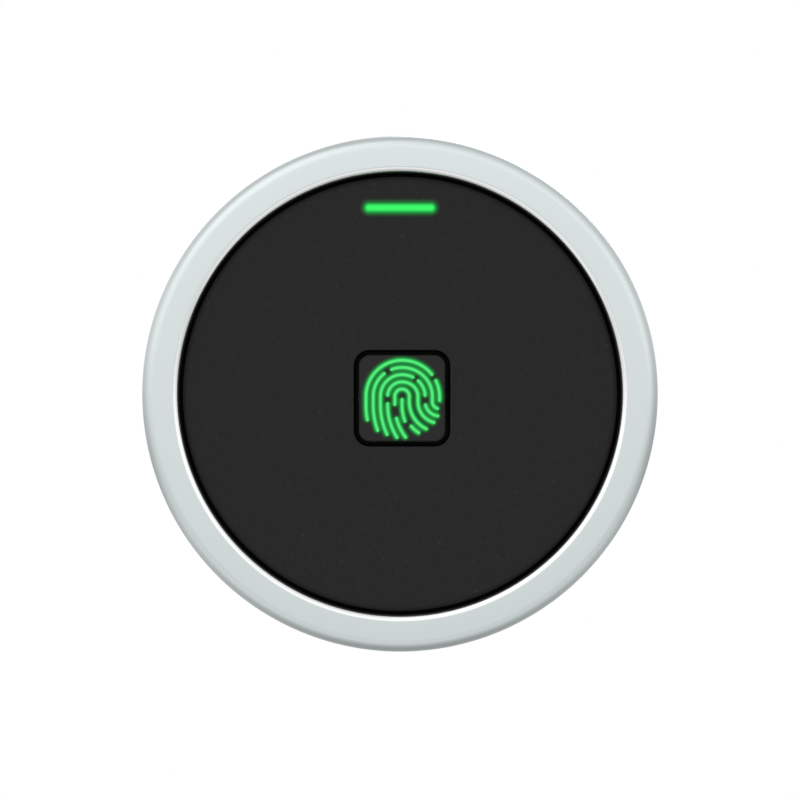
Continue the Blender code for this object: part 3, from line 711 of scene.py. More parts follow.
def bar_distance(tree):
    """How far a point is from the middle line of the light bar, across its face."""
    spot = add(tree, "ShaderNodeSeparateXYZ", {0: add(tree, "ShaderNodeTexCoord").outputs["Object"]})
    side = add(tree, "ShaderNodeMath", {0: spot.outputs["X"]}, operation="ABSOLUTE")
    past = add(tree, "ShaderNodeMath", {0: side, 1: (bar_length - bar_width) / 2}, operation="SUBTRACT")
    beyond = add(tree, "ShaderNodeMath", {0: past, 1: 0.0}, operation="MAXIMUM")
    above = add(tree, "ShaderNodeMath", {0: spot.outputs["Z"], 1: bar_y}, operation="SUBTRACT")
    flat = add(tree, "ShaderNodeCombineXYZ", {"X": beyond, "Y": above})
    reach = add(tree, "ShaderNodeVectorMath", {0: flat}, operation="LENGTH")
    return reach


leak_reach = 0.0007
leak = add(tree, "ShaderNodeMapRange", {
    "Value": bar_distance(tree), "From Min": bar_width / 2, "From Max": bar_width / 2 + leak_reach,
    "To Min": 1.0, "To Max": 0.0,
})
fading = add(tree, "ShaderNodeMath", {0: leak, 1: 2.0}, operation="POWER")
leaked = add(tree, "ShaderNodeMix", {
    "Factor": fading, "A": (0.0, 0.0, 0.0, 1.0), "B": linear("#0A6A26"),
}, data_type="RGBA")
drive(shader, Emission_Color=leaked)
shader.inputs["Emission Strength"].default_value = 1.0
fit(panel, matt_black, "reader", "black_panel", "face_panel")


# Light bar
# A diffuser moulded in milky acrylic, lit green from behind. Its lens stands in the panel's slot,
# slightly crowned, with a flange that stops it from behind and a stem that leads to the lamps.

flange_front = panel_back - 0.0003
flange_back = panel_back - 0.0009
stem_back = flange_back - 0.0019
lens_crown = 0.00006
stem_length, stem_width = 0.0110, 0.0020
flange_length, flange_width = 0.0128, 0.0036
lens_levels = [
    (bar_length - 2 * inset, bar_width - 2 * inset, bar_width / 2 - inset, panel_front - drop)
    for inset, drop in (
        (0.0, 0.00012), (0.00002, 0.00004), (0.00007, -0.00001), (0.00020, -0.5 * lens_crown),
        (0.00045, -0.9 * lens_crown), (0.00070, -lens_crown),
    )
]
bar = bench_object("light_bar_lens", lofted([
    (stem_length, stem_width, stem_width / 2, stem_back),
    (stem_length, stem_width, stem_width / 2, flange_back),
    (flange_length, flange_width, flange_width / 2, flange_back),
    (flange_length, flange_width, flange_width / 2, flange_front),
    (bar_length, bar_width, bar_width / 2, flange_front), *lens_levels,
]), (0.0, bar_y, 0.0))
# Milky acrylic hides the lamps behind it and glows as one soft green line.
lit_acrylic, tree, shader = new_finish(
    "lit_green_acrylic", Base_Color=linear("#06200D"), Roughness=0.45, IOR=1.49,
    Specular_IOR_Level=0.12, Emission_Strength=1.0,
)
# The lamps sit behind the middle line, so the lens is brightest there and dims towards its edge.
dimming = add(tree, "ShaderNodeMapRange", {
    "Value": bar_distance(tree), "From Min": 0.00015, "From Max": bar_width / 2,
}, interpolation_type="SMOOTHSTEP")
light = add(tree, "ShaderNodeMix", {
    "Factor": dimming, "A": linear("#38FA69"), "B": linear("#138436"),
}, data_type="RGBA")
drive(shader, Emission_Color=light)
fit(bar, lit_acrylic, "reader", "green_light", "light_bar")


# Sensor seal
# A moulded rubber frame. Its flange sits behind the panel and its lip closes the gap between the
# window's edge and the sensor's cover.

low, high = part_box("sensor_seal")
seal_front = -low.y
seal_size, seal_wall = 0.0138, 0.0004
seal_bore = seal_size - 2 * seal_wall
seal_corner = window_corner - 0.0002
lip_round = 0.0001
flange_size = high.x - low.x
seal = bench_object("sensor_seal_lip", lofted([
    (flange_size, flange_size, window_corner, flange_back),
    (flange_size, flange_size, window_corner, flange_front),
    (seal_size, seal_size, seal_corner, flange_front),
    (seal_size, seal_size, seal_corner, seal_front - lip_round),
    (seal_size - lip_round, seal_size - lip_round, seal_corner - lip_round / 2, seal_front),
    (seal_bore + lip_round, seal_bore + lip_round, seal_corner - seal_wall + lip_round / 2, seal_front),
    (seal_bore, seal_bore, seal_corner - seal_wall, seal_front - lip_round),
    (seal_bore, seal_bore, seal_corner - seal_wall, flange_back),
], ring=True), (sensor_x, sensor_y, 0.0))
# Silicone is almost black and barely shines, with a faint bloom 0.6 mm across.
silicone = grained(
    "moulded_black_silicone", "#030303", 0.0006, gloss=(0.72, 0.88), Roughness=0.8, IOR=1.41,
    Specular_IOR_Level=0.06,
)
fit(seal, silicone, "reader", "rubber", "sensor_seal")


# Fingerprint icon
# Thirteen ridges of a plain loop pattern, which glow green through the sensor's cover. Each ridge
# follows an arch over the middle, runs down straight, and bends away to the right at the bottom.
# A ridge is (loop, start, end), with both ends in millimetres along the loop from the arch's crown.

ridge_pitch = 0.00106
ridge_width = 0.00062
arch_level = 0.0003
leg_left, leg_right = 0.0013, 0.0008  # straight runs below the arch
bend_left, bend_right = 0.0068, 0.0055  # how far right of the middle the bends are centred
outer_lean = 0.00022  # how much further right the loops past the first one run
ridges = [
    (5, -12.05, 5.1), (5, 5.7, 9.3),
    (4, -12.0, -2.6), (4, -1.8, 9.05),
    (3, -11.0, 1.8), (3, 2.25, 5.1), (3, 6.05, 9.1),
    (2, -9.9, -4.2), (2, -3.4, 8.5),
    (1, -3.1, 7.7), (1, -8.3, -4.7),
    (0, -3.95, -0.25), (0, 4.5, 6.45),
]


def ridge_point(loop, travel):
    """Where a loop is at a distance from its crown, to the left if it is negative."""
    reach = loop * ridge_pitch
    lean = outer_lean if travel > 0 and loop > 1 else 0.0
    quarter = reach * math.pi / 2
    if abs(travel) < quarter:
        angle = math.pi / 2 - travel / reach
        return (reach + lean) * math.cos(angle), arch_level + reach * math.sin(angle)
    below = abs(travel) - quarter
    side, leg, bend = (1, leg_right, bend_right) if travel > 0 else (-1, leg_left, bend_left)
    if below < leg:
        return side * reach + lean, arch_level - below
    radius = bend - side * reach - lean
    angle = (below - leg) / radius
    return bend - radius * math.cos(angle), arch_level - leg - radius * math.sin(angle)


step = 0.00010
lines = bpy.data.curves.new("ridge_lines", "CURVE")
lines.dimensions = "3D"
ridge_trees = []
for loop, start, end in ridges:
    start, end = start / 1000, end / 1000
    count = int((end - start) / step) + 1
    spline = lines.splines.new("POLY")
    spline.points.add(count)
    nearby = KDTree(count + 1)
    for number, point in enumerate(spline.points):
        travel = start + (end - start) * number / count
        x, y = ridge_point(loop, travel)
        point.co = (x, y, 0.0, 1.0)
        if min(travel - start, end - travel) > ridge_width / 2:
            nearby.insert((sensor_x + x, sensor_y + y, 0.0), number)
    nearby.balance()
    ridge_trees.append(nearby)
ridge_lines = bpy.data.objects.new("ridge_lines", lines)
bpy.context.collection.objects.link(ridge_lines)

ridge_sizes = {"Width": ridge_width, "Thickness": 0.00004, "Step": 0.00006}
tree, size = geometry_tree("lit_ridge", ridge_sizes)
path = add(tree, "GeometryNodeResampleCurve", {
    "Curve": size["Geometry"], "Length": size["Step"],
}, mode="LENGTH")
aimed = add(tree, "GeometryNodeSetCurveNormal", {"Curve": path}, mode="Z_UP")
along = add(tree, "GeometryNodeSplineParameter").outputs["Length"]
whole = add(tree, "GeometryNodeSplineLength").outputs["Length"]
left = add(tree, "ShaderNodeMath", {0: whole, 1: along}, operation="SUBTRACT")
nearest = add(tree, "ShaderNodeMath", {0: along, 1: left}, operation="MINIMUM")
half_width = add(tree, "ShaderNodeMath", {0: size["Width"], 1: 0.5}, operation="MULTIPLY")
share = add(tree, "ShaderNodeMath", {0: nearest, 1: half_width}, operation="DIVIDE", use_clamp=True)
short = add(tree, "ShaderNodeMath", {0: 1.0, 1: share}, operation="SUBTRACT")
square = add(tree, "ShaderNodeMath", {0: short, 1: 2.0}, operation="POWER")
rest = add(tree, "ShaderNodeMath", {0: 1.0, 1: square}, operation="SUBTRACT")
cap = add(tree, "ShaderNodeMath", {0: rest}, operation="SQRT")
least = add(tree, "ShaderNodeMath", {0: cap, 1: 0.05}, operation="MAXIMUM")
circle = add(tree, "GeometryNodeCurvePrimitiveCircle", {"Resolution": 16, "Radius": 1.0})
spot = add(tree, "ShaderNodeSeparateXYZ", {0: add(tree, "GeometryNodeInputPosition").outputs["Position"]})
across = add(tree, "ShaderNodeMath", {0: spot.outputs["X"]}, operation="ABSOLUTE")
marked = add(tree, "GeometryNodeStoreNamedAttribute", {
    "Geometry": circle, "Name": "across", "Value": across,
}, data_type="FLOAT", domain="POINT")
half_thickness = add(tree, "ShaderNodeMath", {0: size["Thickness"], 1: 0.5}, operation="MULTIPLY")
flat = add(tree, "ShaderNodeCombineXYZ", {"X": half_width, "Y": half_thickness, "Z": 1.0})
profile = add(tree, "GeometryNodeTransform", {"Geometry": marked, "Scale": flat})
swept = add(tree, "GeometryNodeCurveToMesh", {
    "Curve": aimed, "Profile Curve": profile,
    "Scale": least, "Fill Caps": True,
})
# The clear resin in the stencil glows like a thin neon line.
lit_ridge, ridge_paint, shader = new_finish(
    "lit_green_icon", Base_Color=linear("#06200D"), Roughness=0.5, IOR=1.49, Specular_IOR_Level=0.2,
    Emission_Color=linear("#5BF07F"), Emission_Strength=1.0,
)
deliver(tree, swept)
icon = grow(ridge_lines, "icon_ridges", tree, ridge_sizes)
icon.data.transform(Matrix.Translation((sensor_x, sensor_y, panel_front)))
# The light is strongest along the middle of a ridge and spreads towards its sides.
across = add(ridge_paint, "ShaderNodeAttribute", attribute_name="across")
falling = add(ridge_paint, "ShaderNodeMapRange", {
    "Value": across.outputs["Fac"], "From Min": 0.20, "From Max": 1.0, "To Min": 0.0, "To Max": 1.0,
}, interpolation_type="SMOOTHSTEP")
glow = add(ridge_paint, "ShaderNodeMix", {
    "Factor": falling, "A": linear("#4FEE78"), "B": linear("#21A24A"),
}, data_type="RGBA")
drive(shader, Emission_Color=glow)
fit(icon, lit_ridge, "reader", "green_light")


# Sensor cover
# A plate of tinted glass-filled resin over the sensor chip, flush with the panel, with a satin
# coating. It is clear enough for the icon's light to spread in it, which leaves a dark green glow.

low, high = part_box("sensor_cover")
cover_back = -high.y
cover_size = high.x - low.x
cover_corner = 0.0016
cover_edge = 0.0002
rings = 56
cover_levels = [(cover_size, cover_size, cover_corner, cover_back)]
for number in range(4):
    angle = math.pi / 2 * number / 3
    inset = cover_edge * (1 - math.cos(angle))
    cover_levels.append((
        cover_size - 2 * inset, cover_size - 2 * inset, cover_corner - inset,
        panel_front - cover_edge * (1 - math.sin(angle)),
    ))
top_size = cover_size - 2 * cover_edge
for number in range(1, rings):
    wide = top_size * (1 - number / rings)
    cover_levels.append((wide, wide, min(cover_corner - cover_edge, wide * 0.2), panel_front))
cover = bench_object(
    "sensor_cover_plate", lofted(cover_levels, steps=24, divide=64), (sensor_x, sensor_y, 0.0)
)
# Light from every ridge near a point adds up there.
glow_reach = 0.00045
spill = cover.data.attributes.new("spill", "FLOAT", "POINT")
for vertex in cover.data.vertices:
    if vertex.co.z < panel_front - cover_edge:
        continue
    place = (vertex.co.x, vertex.co.y, 0.0)
    shares = [1 - (nearby.find(place)[2] - ridge_width / 2) / glow_reach for nearby in ridge_trees]
    spill.data[vertex.index].value = sum(min(share, 1.0) ** 1.7 for share in shares if share > 0)
# The satin coat is as matt as the panel and hides the chip until the icon is lit.
tinted_resin, tree, shader = new_finish(
    "tinted_coated_resin", Base_Color=linear("#232222"), Roughness=0.62, IOR=1.5, Specular_IOR_Level=0.22,
    Emission_Strength=1.0,
)
place = add(tree, "ShaderNodeTexCoord").outputs["Object"]
coat = add(tree, "ShaderNodeTexNoise", {"Vector": place, "Scale": 1 / 0.00035, "Detail": 2.0})
bump = add(tree, "ShaderNodeBump", {"Height": coat, "Strength": 0.10, "Distance": 0.00002})
drive(shader, Normal=bump)
light = add(tree, "ShaderNodeAttribute", attribute_name="spill").outputs["Fac"]
glow = add(tree, "ShaderNodeMix", {
    "Factor": light, "A": (0.0, 0.0, 0.0, 1.0), "B": linear("#0A963A"),
}, data_type="RGBA")
# Black stencil ink lies under the resin round the ridges.
inked = add(tree, "ShaderNodeMapRange", {"Value": light, "From Max": 0.3})
ink = add(tree, "ShaderNodeMix", {
    "Factor": inked, "A": linear("#232222"), "B": linear("#050505"),
}, data_type="RGBA")
drive(shader, Base_Color=ink)
drive(shader, Emission_Color=glow)
fit(cover, tinted_resin, "reader", "black_sensor", "sensor_cover")


# Icon film
# A thin light guide behind the cover, fed by two lamps at its sides. Printed dots on its back throw
# the light forward through the icon's stencil.

low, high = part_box("icon_film")
film_front, film_back = -low.y, -high.y
film_size = high.x - low.x
film = bench_object("icon_light_guide", lofted([
    (film_size, film_size, 0.0014, film_back), (film_size, film_size, 0.0014, film_front - 0.00004),
    (film_size - 0.00008, film_size - 0.00008, 0.00136, film_front),
]), (sensor_x, sensor_y, 0.0))
# The printed dots, 0.4 mm apart, show as a grid of bright points in a pale green sheet.
light_guide, tree, shader = new_finish(
    "dotted_polycarbonate_film", Base_Color=linear("#BFE8C9"), Roughness=0.3, IOR=1.585,
    Emission_Strength=0.6,
)
place = add(tree, "ShaderNodeTexCoord").outputs["Object"]
dots = add(tree, "ShaderNodeTexVoronoi", {"Vector": place, "Scale": 1 / 0.0004, "Randomness": 0.0})
lit = add(tree, "ShaderNodeMapRange", {"Value": dots, "From Min": 0.2, "From Max": 0.35})
spread = add(tree, "ShaderNodeMix", {
    "Factor": lit, "A": linear("#5BF07F"), "B": linear("#17702F"),
}, data_type="RGBA")
drive(shader, Emission_Color=spread)
fit(film, light_guide, "reader", "green_light", "icon_film")


# Sensor chip
# A capacitive array under a hard black coating. Its cells are 0.05 mm apart, drawn here at 0.4 mm
# so that they show, and it is soldered to its own small board.


def refinish(material, *nodes):
    """Give CAD nodes that keep their shape a finish."""
    for node in nodes:
        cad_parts[node].data.materials.clear()
        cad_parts[node].data.materials.append(material)


# The coating has a dark, glassy shine over a fine gold grid.
array_coat, tree, shader = new_finish(
    "coated_sensor_die", Base_Color=linear("#15171A"), Roughness=0.25, IOR=1.6
)
place = add(tree, "ShaderNodeTexCoord").outputs["Object"]
cells = add(tree, "ShaderNodeTexVoronoi", {
    "Vector": place, "Scale": 1 / 0.0004, "Randomness": 0.0,
}, distance="CHEBYCHEV")
lines = add(tree, "ShaderNodeMapRange", {"Value": cells, "From Min": 0.42, "From Max": 0.5})
shade = add(tree, "ShaderNodeMix", {
    "Factor": lines, "A": linear("#15171A"), "B": linear("#3A3422"),
}, data_type="RGBA")
drive(shader, Base_Color=shade)
refinish(array_coat, "sensor_chip")


# Icon lamps and status lamps
# Surface-mounted lamps: a white moulded body with a clear dome over the die, and tinned pads at
# both ends. Two feed the icon's film and three stand behind the light bar.

lamp_sizes = {"Dome": 0.35, "Dome Height": 0.0002}
tree, size = geometry_tree("lamp_dome", lamp_sizes)
short_side = add(tree, "ShaderNodeMath", {
    0: add(tree, "GeometryNodeInputNamedAttribute", {"Name": "half_side"}, data_type="FLOAT"),
    1: size["Dome"],
}, operation="MULTIPLY")
dome = add(tree, "GeometryNodeMeshUVSphere", {"Segments": 20, "Rings": 10, "Radius": 1.0})
tall = add(tree, "ShaderNodeCombineXYZ", {"X": short_side, "Y": short_side, "Z": size["Dome Height"]})
deliver(tree, add(tree, "GeometryNodeInstanceOnPoints", {
    "Points": size["Geometry"], "Instance": dome, "Scale": tall,
}))
# Clear resin over a lit die glows green, a little brighter in some places than in others.
clear_dome, dome_tree, shader = new_finish(
    "cast_clear_epoxy", Base_Color=linear("#C9F2D2"), Roughness=0.08, IOR=1.52,
    Transmission_Weight=0.6, Emission_Strength=1.5,
)
place = add(dome_tree, "ShaderNodeTexCoord").outputs["Object"]
haze = add(dome_tree, "ShaderNodeTexNoise", {"Vector": place, "Scale": 1 / 0.0003})
hue = add(dome_tree, "ShaderNodeMix", {
    "Factor": haze, "A": linear("#2EE060"), "B": linear("#6CFF92"),
}, data_type="RGBA")
drive(shader, Emission_Color=hue)
# Glass-filled nylon is a clean white with a fine grain.
lamp_body = grained(
    "moulded_white_ppa", "#E9E7E0", 0.0002, relief=(0.2, 0.00002), detail=3.0, Roughness=0.45, IOR=1.56,
)
lamp_tops, lamp_sides = [], []
for node in ("icon_led_1", "icon_led_2", "status_led_1", "status_led_2", "status_led_3"):
    low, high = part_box(node)
    wide, tall, top = high.x - low.x, high.z - low.z, -low.y
    centre = ((low.x + high.x) / 2, (low.z + high.z) / 2, 0.0)
    body_top = top - 0.0002
    body = bench_object(node + "_body", lofted([
        (wide, tall, 0.00005, -high.y), (wide, tall, 0.00005, body_top - 0.00005),
        (wide - 0.0001, tall - 0.0001, 0.00003, body_top),
    ], steps=3), centre)
    fit(body, lamp_body, "reader", "white_plastic", node)
    lamp_tops.append((centre[0], centre[1], body_top))
    lamp_sides.append(min(wide, tall))
lamp_host = host_at("lamp_host", lamp_tops, half_side=lamp_sides)
fit(grow(lamp_host, "lamp_domes", tree, lamp_sizes), clear_dome, "reader", "clear_led")


# Panel adhesive and light shroud
# A ring of black acrylic foam tape, cut to shape, holds the panel on the ring's ledge. The shroud
# is a moulded frame that keeps the lamps' light in the diffuser's stem.

# Foam tape is a dull dark grey.
foam_tape = grained(
    "acrylic_foam_tape", "#232323", 0.00015, relief=(0.4, 0.00003), cells=True, Roughness=0.75,
    IOR=1.47,
)
tape_inner, tape_outer = 0.0304, 0.0318
low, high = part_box("panel_adhesive")
tape = bench_object("panel_tape", turned(rounded([
    (tape_inner, -high.y, 0.00005), (tape_outer, -high.y, 0.00005),
    (tape_outer, -low.y, 0.00005), (tape_inner, -low.y, 0.00005),
], 3)))
fit(tape, foam_tape, "reader", "tape", "panel_adhesive")
refinish(black_abs, "light_shroud")


# Circuit boards
# Glass-epoxy laminate with copper tracks under a green solder mask. The tracks are 0.2 mm wide,
# and show as slightly lighter lines with right-angled bends.

# The mask is a half-glossy green that stands up slightly over the tracks.
solder_mask, tree, shader = new_finish(
    "green_solder_mask", Base_Color=linear("#0E4A2A"), Roughness=0.35, IOR=1.55
)
place = add(tree, "ShaderNodeTexCoord").outputs["Object"]
regions = add(tree, "ShaderNodeTexVoronoi", {
    "Vector": place, "Scale": 1 / 0.0045,
}, distance="MANHATTAN", feature="F1")
tracks = add(tree, "ShaderNodeMath", {0: regions, 1: 9.0}, operation="MULTIPLY")
lanes = add(tree, "ShaderNodeMath", {0: tracks, 1: 1.0}, operation="PINGPONG")
copper = add(tree, "ShaderNodeMapRange", {"Value": lanes, "From Min": 0.62, "From Max": 0.70})
shade = add(tree, "ShaderNodeMix", {
    "Factor": copper, "A": linear("#0C4024"), "B": linear("#1B6A3C"),
}, data_type="RGBA")
drive(shader, Base_Color=shade)
bump = add(tree, "ShaderNodeBump", {"Height": copper, "Strength": 0.3, "Distance": 0.00003})
drive(shader, Normal=bump)
refinish(solder_mask, "sensor_board", "main_board")


# Screws
# Cold-headed steel screws with a hexagon recess and a rolled thread. Two hold the sensor's bracket,
# three the main board, three countersunk ones the back cover, and a grub screw locks the terminal.

screw_sizes = {
    "Head Radius": 0.0024, "Neck Radius": 0.00125, "Head Height": 0.00115, "Rim": 0.0001,
    "Shank Radius": 0.00125, "Length": 0.0063, "Tip Radius": 0.0008, "Tip Length": 0.0005,
    "Key Radius": 0.0009, "Key Depth": 0.0008, "Pitch": 0.0005,
}
tree, size = geometry_tree("hex_screw", screw_sizes)
root = 0.00012  # depth of the thread
overrun = 0.0002  # the recess's tool starts this far outside the head
spans = {}
for name, whole, part in (
    ("rim back", "Head Radius", "Rim"), ("head height", "Head Height", "Rim"),
    ("tip level", "Length", "Tip Length"),
):
    spans[name] = add(tree, "ShaderNodeMath", {0: size[whole], 1: size[part]}, operation="SUBTRACT")
shank_length = add(tree, "ShaderNodeMath", {
    0: spans["tip level"], 1: size["Head Height"],
}, operation="SUBTRACT")
root_radius = add(tree, "ShaderNodeMath", {0: size["Shank Radius"], 1: root}, operation="SUBTRACT")
key_height = add(tree, "ShaderNodeMath", {0: size["Key Depth"], 1: overrun}, operation="ADD")
# Each solid stands between two levels, from its bottom radius to its top radius.
solids = {}
for name, bottom, top, height, start, sides in (
    ("rim", spans["rim back"], size["Head Radius"], size["Rim"], 0.0, 36),
    ("head", size["Head Radius"], size["Neck Radius"], spans["head height"], size["Rim"], 36),
    ("key", size["Key Radius"], size["Key Radius"], key_height, -overrun, 6),
    ("shank", size["Shank Radius"], size["Shank Radius"], shank_length, size["Head Height"], 36),
    ("tip", size["Shank Radius"], size["Tip Radius"], size["Tip Length"], spans["tip level"], 36),
):
    made = add(tree, "GeometryNodeMeshCone", {
        "Vertices": sides, "Radius Bottom": bottom, "Radius Top": top, "Depth": height,
    })
    up = add(tree, "ShaderNodeCombineXYZ", {"Z": start})
    solids[name] = add(tree, "GeometryNodeTransform", {
        "Geometry": made, "Translation": up,
    }).outputs["Geometry"]
blank = add(tree, "GeometryNodeMeshBoolean", {"Mesh 2": solids["rim"]}, operation="UNION")
tree.links.new(solids["head"], blank.inputs["Mesh 2"])
socketed = add(tree, "GeometryNodeMeshBoolean", {
    "Mesh 1": blank, "Mesh 2": solids["key"],
}, operation="DIFFERENCE")
turns = add(tree, "ShaderNodeMath", {0: shank_length, 1: size["Pitch"]}, operation="DIVIDE")
helix = add(tree, "GeometryNodeCurveSpiral", {
    "Resolution": 24, "Rotations": turns, "Start Radius": root_radius,
    "End Radius": root_radius, "Height": shank_length,
})
crest = add(tree, "GeometryNodeCurvePrimitiveCircle", {"Resolution": 4, "Radius": 0.00016})
thread = add(tree, "GeometryNodeCurveToMesh", {
    "Curve": helix, "Profile Curve": crest, "Fill Caps": True,
})
up = add(tree, "ShaderNodeCombineXYZ", {"Z": size["Head Height"]})
wound = add(tree, "GeometryNodeTransform", {"Geometry": thread, "Translation": up})
screw = add(tree, "GeometryNodeJoinGeometry", {"Geometry": socketed})
for part in (solids["shank"], solids["tip"], wound.outputs["Geometry"]):
    tree.links.new(part, screw.inputs["Geometry"])
copies(tree, size["Geometry"], screw)
screw_tree = tree


def screw_set(name, nodes, finish, slot, **sizes):
    """Screws in place of CAD nodes that point along the bench's Z, from the head's back to the tip."""
    spots, depth = [], 0.0
    for node in nodes:
        low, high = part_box(node)
        spots.append(((low.x + high.x) / 2, (low.z + high.z) / 2, -high.y))
        depth = high.y - low.y
    named = {key.replace("_", " "): value for key, value in sizes.items()}
    host = host_at(name + "_host", spots)
    piece = grow(host, name, screw_tree, {**screw_sizes, "Length": depth, **named})
    fit(piece, finish, "reader", slot, *nodes)


# Zinc plating is pale and bright, with faint crystals 0.4 mm across.
zinc = grained(
    "zinc_plated_steel", "#B9BDC2", 0.0004, gloss=(0.22, 0.4), cells=True, Metallic=1.0, Roughness=0.3,
)
screw_set(
    "bracket_screws", ["bracket_screw_1", "bracket_screw_2"], zinc, "steel",
    Head_Radius=0.0015, Neck_Radius=0.0015, Head_Height=0.0007, Shank_Radius=0.00075,
    Tip_Radius=0.0005, Tip_Length=0.0003, Key_Radius=0.0006, Key_Depth=0.00045, Pitch=0.0004,
)
screw_set(
    "board_screws", ["board_screw_1", "board_screw_2", "board_screw_3"], zinc, "steel",
    Head_Radius=0.0019, Neck_Radius=0.0019, Head_Height=0.0010, Shank_Radius=0.0010,
    Tip_Radius=0.0006, Tip_Length=0.0004, Key_Radius=0.0008, Key_Depth=0.0006, Pitch=0.0004,
)
# Black oxide under a film of oil is dark, with an uneven satin shine.
black_oxide = grained(
    "black_oxide_steel", "#2B2B2D", 0.0007, gloss=(0.32, 0.52), detail=3.0, Metallic=0.9,
    Roughness=0.42,
)
screw_set(
    "cover_screws", ["cover_screw_1", "cover_screw_2", "cover_screw_3"], black_oxide, "black_steel",
)

# The grub screw is made in the same way, all shank, and then turned to point at the axis.
low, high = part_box("grub_screw")
grub_radius = (high.x - low.x) / 2
grub = grow(host_at("grub_host"), "grub_screw_body", screw_tree, {
    "Head Radius": grub_radius, "Neck Radius": grub_radius, "Head Height": 0.0014, "Rim": 0.0002,
    "Shank Radius": grub_radius, "Length": high.z - low.z, "Tip Radius": 0.0005, "Tip Length": 0.0006,
    "Key Radius": 0.00072, "Key Depth": 0.0012, "Pitch": 0.0005,
})
grub.data.transform(
    Matrix.Translation((0.0, low.z, -(low.y + high.y) / 2)) @ Matrix.Rotation(-math.pi / 2, 4, "X")
)
fit(grub, black_oxide, "grub", "black_steel", "grub_screw")


# Bracket and ribbon
# A strip of spring steel presses the sensor's board forward. A polyimide ribbon runs from that
# board to a socket on the main board.

# Rolling draws fine lines along the strip, 0.1 mm apart, that streak its shine.
rolled_steel = grained(
    "rolled_stainless_steel", "#C3C5C6", 0.0001, relief=(0.15, 0.00001), stretch=(0.03, 1.0, 1.0),
    Metallic=1.0, Roughness=0.32,
)
refinish(rolled_steel, "sensor_bracket")

# Copper lanes, 0.5 mm apart, show as paler stripes through the glossy amber film.
polyimide, tree, shader = new_finish(
    "polyimide_ribbon", Base_Color=linear("#B4651B"), Roughness=0.3, IOR=1.7,
)
place = add(tree, "ShaderNodeSeparateXYZ", {0: add(tree, "ShaderNodeTexCoord").outputs["Object"]})
lanes = add(tree, "ShaderNodeMath", {0: place.outputs["X"], 1: 0.00025}, operation="PINGPONG")
copper = add(tree, "ShaderNodeMapRange", {"Value": lanes, "From Min": 0.00012, "From Max": 0.00015})
shade = add(tree, "ShaderNodeMix", {
    "Factor": copper, "A": linear("#A85A16"), "B": linear("#D08A3C"),
}, data_type="RGBA")
drive(shader, Base_Color=shade)
refinish(polyimide, "sensor_ribbon")


# Parts on the main board
# Moulded packages, a relay, a drum inductor, a buzzer, a capacitor can and two sockets, soldered to
# the board's back and front. The packages have gull-wing legs of tinned copper.

leg_sizes = {"Width": 0.00025, "Thickness": 0.00012, "Reach": 0.0007, "Drop": 0.0005}
tree, size = geometry_tree("gull_wing_legs", leg_sizes)
elbow = add(tree, "ShaderNodeMath", {0: size["Reach"], 1: 0.45}, operation="MULTIPLY")
points = [
    add(tree, "ShaderNodeCombineXYZ", {"X": x, "Z": z})
    for x, z in ((0.0, 0.0), (elbow, 0.0), (elbow, size["Drop"]),
                 (size["Reach"], size["Drop"]))
]
runs = [
    add(tree, "GeometryNodeCurvePrimitiveLine", {"Start": start, "End": end}).outputs["Curve"]
    for start, end in zip(points, points[1:])
]
joined = add(tree, "GeometryNodeJoinGeometry", {"Geometry": runs[0]})
for run in runs[1:]:
    tree.links.new(run, joined.inputs["Geometry"])
section = add(tree, "GeometryNodeCurvePrimitiveQuadrilateral", {
    "Width": size["Width"], "Height": size["Thickness"],
})
leg = add(tree, "GeometryNodeCurveToMesh", {
    "Curve": joined, "Profile Curve": section, "Fill Caps": True,
})
copies(tree, size["Geometry"], leg)
# Dipped tin is bright and slightly uneven.
tinned = grained("tinned_copper", "#C9CACB", 0.0003, gloss=(0.2, 0.4), Metallic=1.0, Roughness=0.28)

# Mineral filler gives the packages a dull, finely sandy black, drawn 0.12 mm across.
epoxy = grained(
    "moulded_black_epoxy", "#1A1B1D", 0.00012, relief=(0.25, 0.00002), Roughness=0.5, IOR=1.55,
)


def board_box(node):
    """Bench width, height, middle, back and front of a node."""
    low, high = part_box(node)
    return high.x - low.x, high.z - low.z, (low.x + high.x) / 2, (low.z + high.z) / 2, -high.y, -low.y


def board_part(name, node, finish, slot, shape, place):
    """A part on the board that takes a CAD node's place."""
    fit(bench_object(name, shape, place), finish, "reader", slot, node)


leg_points, leg_turns = [], []
for node, per_side, pitch, all_sides in (
    ("mcu", 16, 0.0005, True), ("flash_chip", 4, 0.0009, False), ("bus_driver", 4, 0.0011, False),
):
    wide, tall, x, y, back, front = board_box(node)
    draft = 0.0002
    shape = lofted([
        (wide - draft, tall - draft, 0.0001, back), (wide, tall, 0.0001, (back + front) / 2),
        (wide - draft, tall - draft, 0.0001, front),
    ], steps=3)
    body = bench_object(node + "_package", shape, (x, y, 0.0))
    corner = (x - wide / 2 + 0.0008, y + tall / 2 - 0.0008, 0.0)
    dimple = peg("dimple", 0.0003, back - 0.0002, back + 0.0001, corner, 24)
    carve(body, [dimple])
    fit(body, epoxy, "reader", "chip", node)
    for quarter in range(4):
        across, reach = (tall, wide) if quarter % 2 == 0 else (wide, tall)
        if not all_sides and quarter % 2 == 0:
            continue
        for number in range(per_side):
            shift = (number - (per_side - 1) / 2) * pitch
            angle = quarter * math.pi / 2
            leg_points.append((
                x + math.cos(angle) * reach / 2 - math.sin(angle) * shift,
                y + math.sin(angle) * reach / 2 + math.cos(angle) * shift,
                (back + front) / 2,
            ))
            leg_turns.append(angle)
leg_host = host_at("leg_host", leg_points, turn=leg_turns)
fit(grow(leg_host, "chip_legs", tree, leg_sizes), tinned, "reader", "steel")

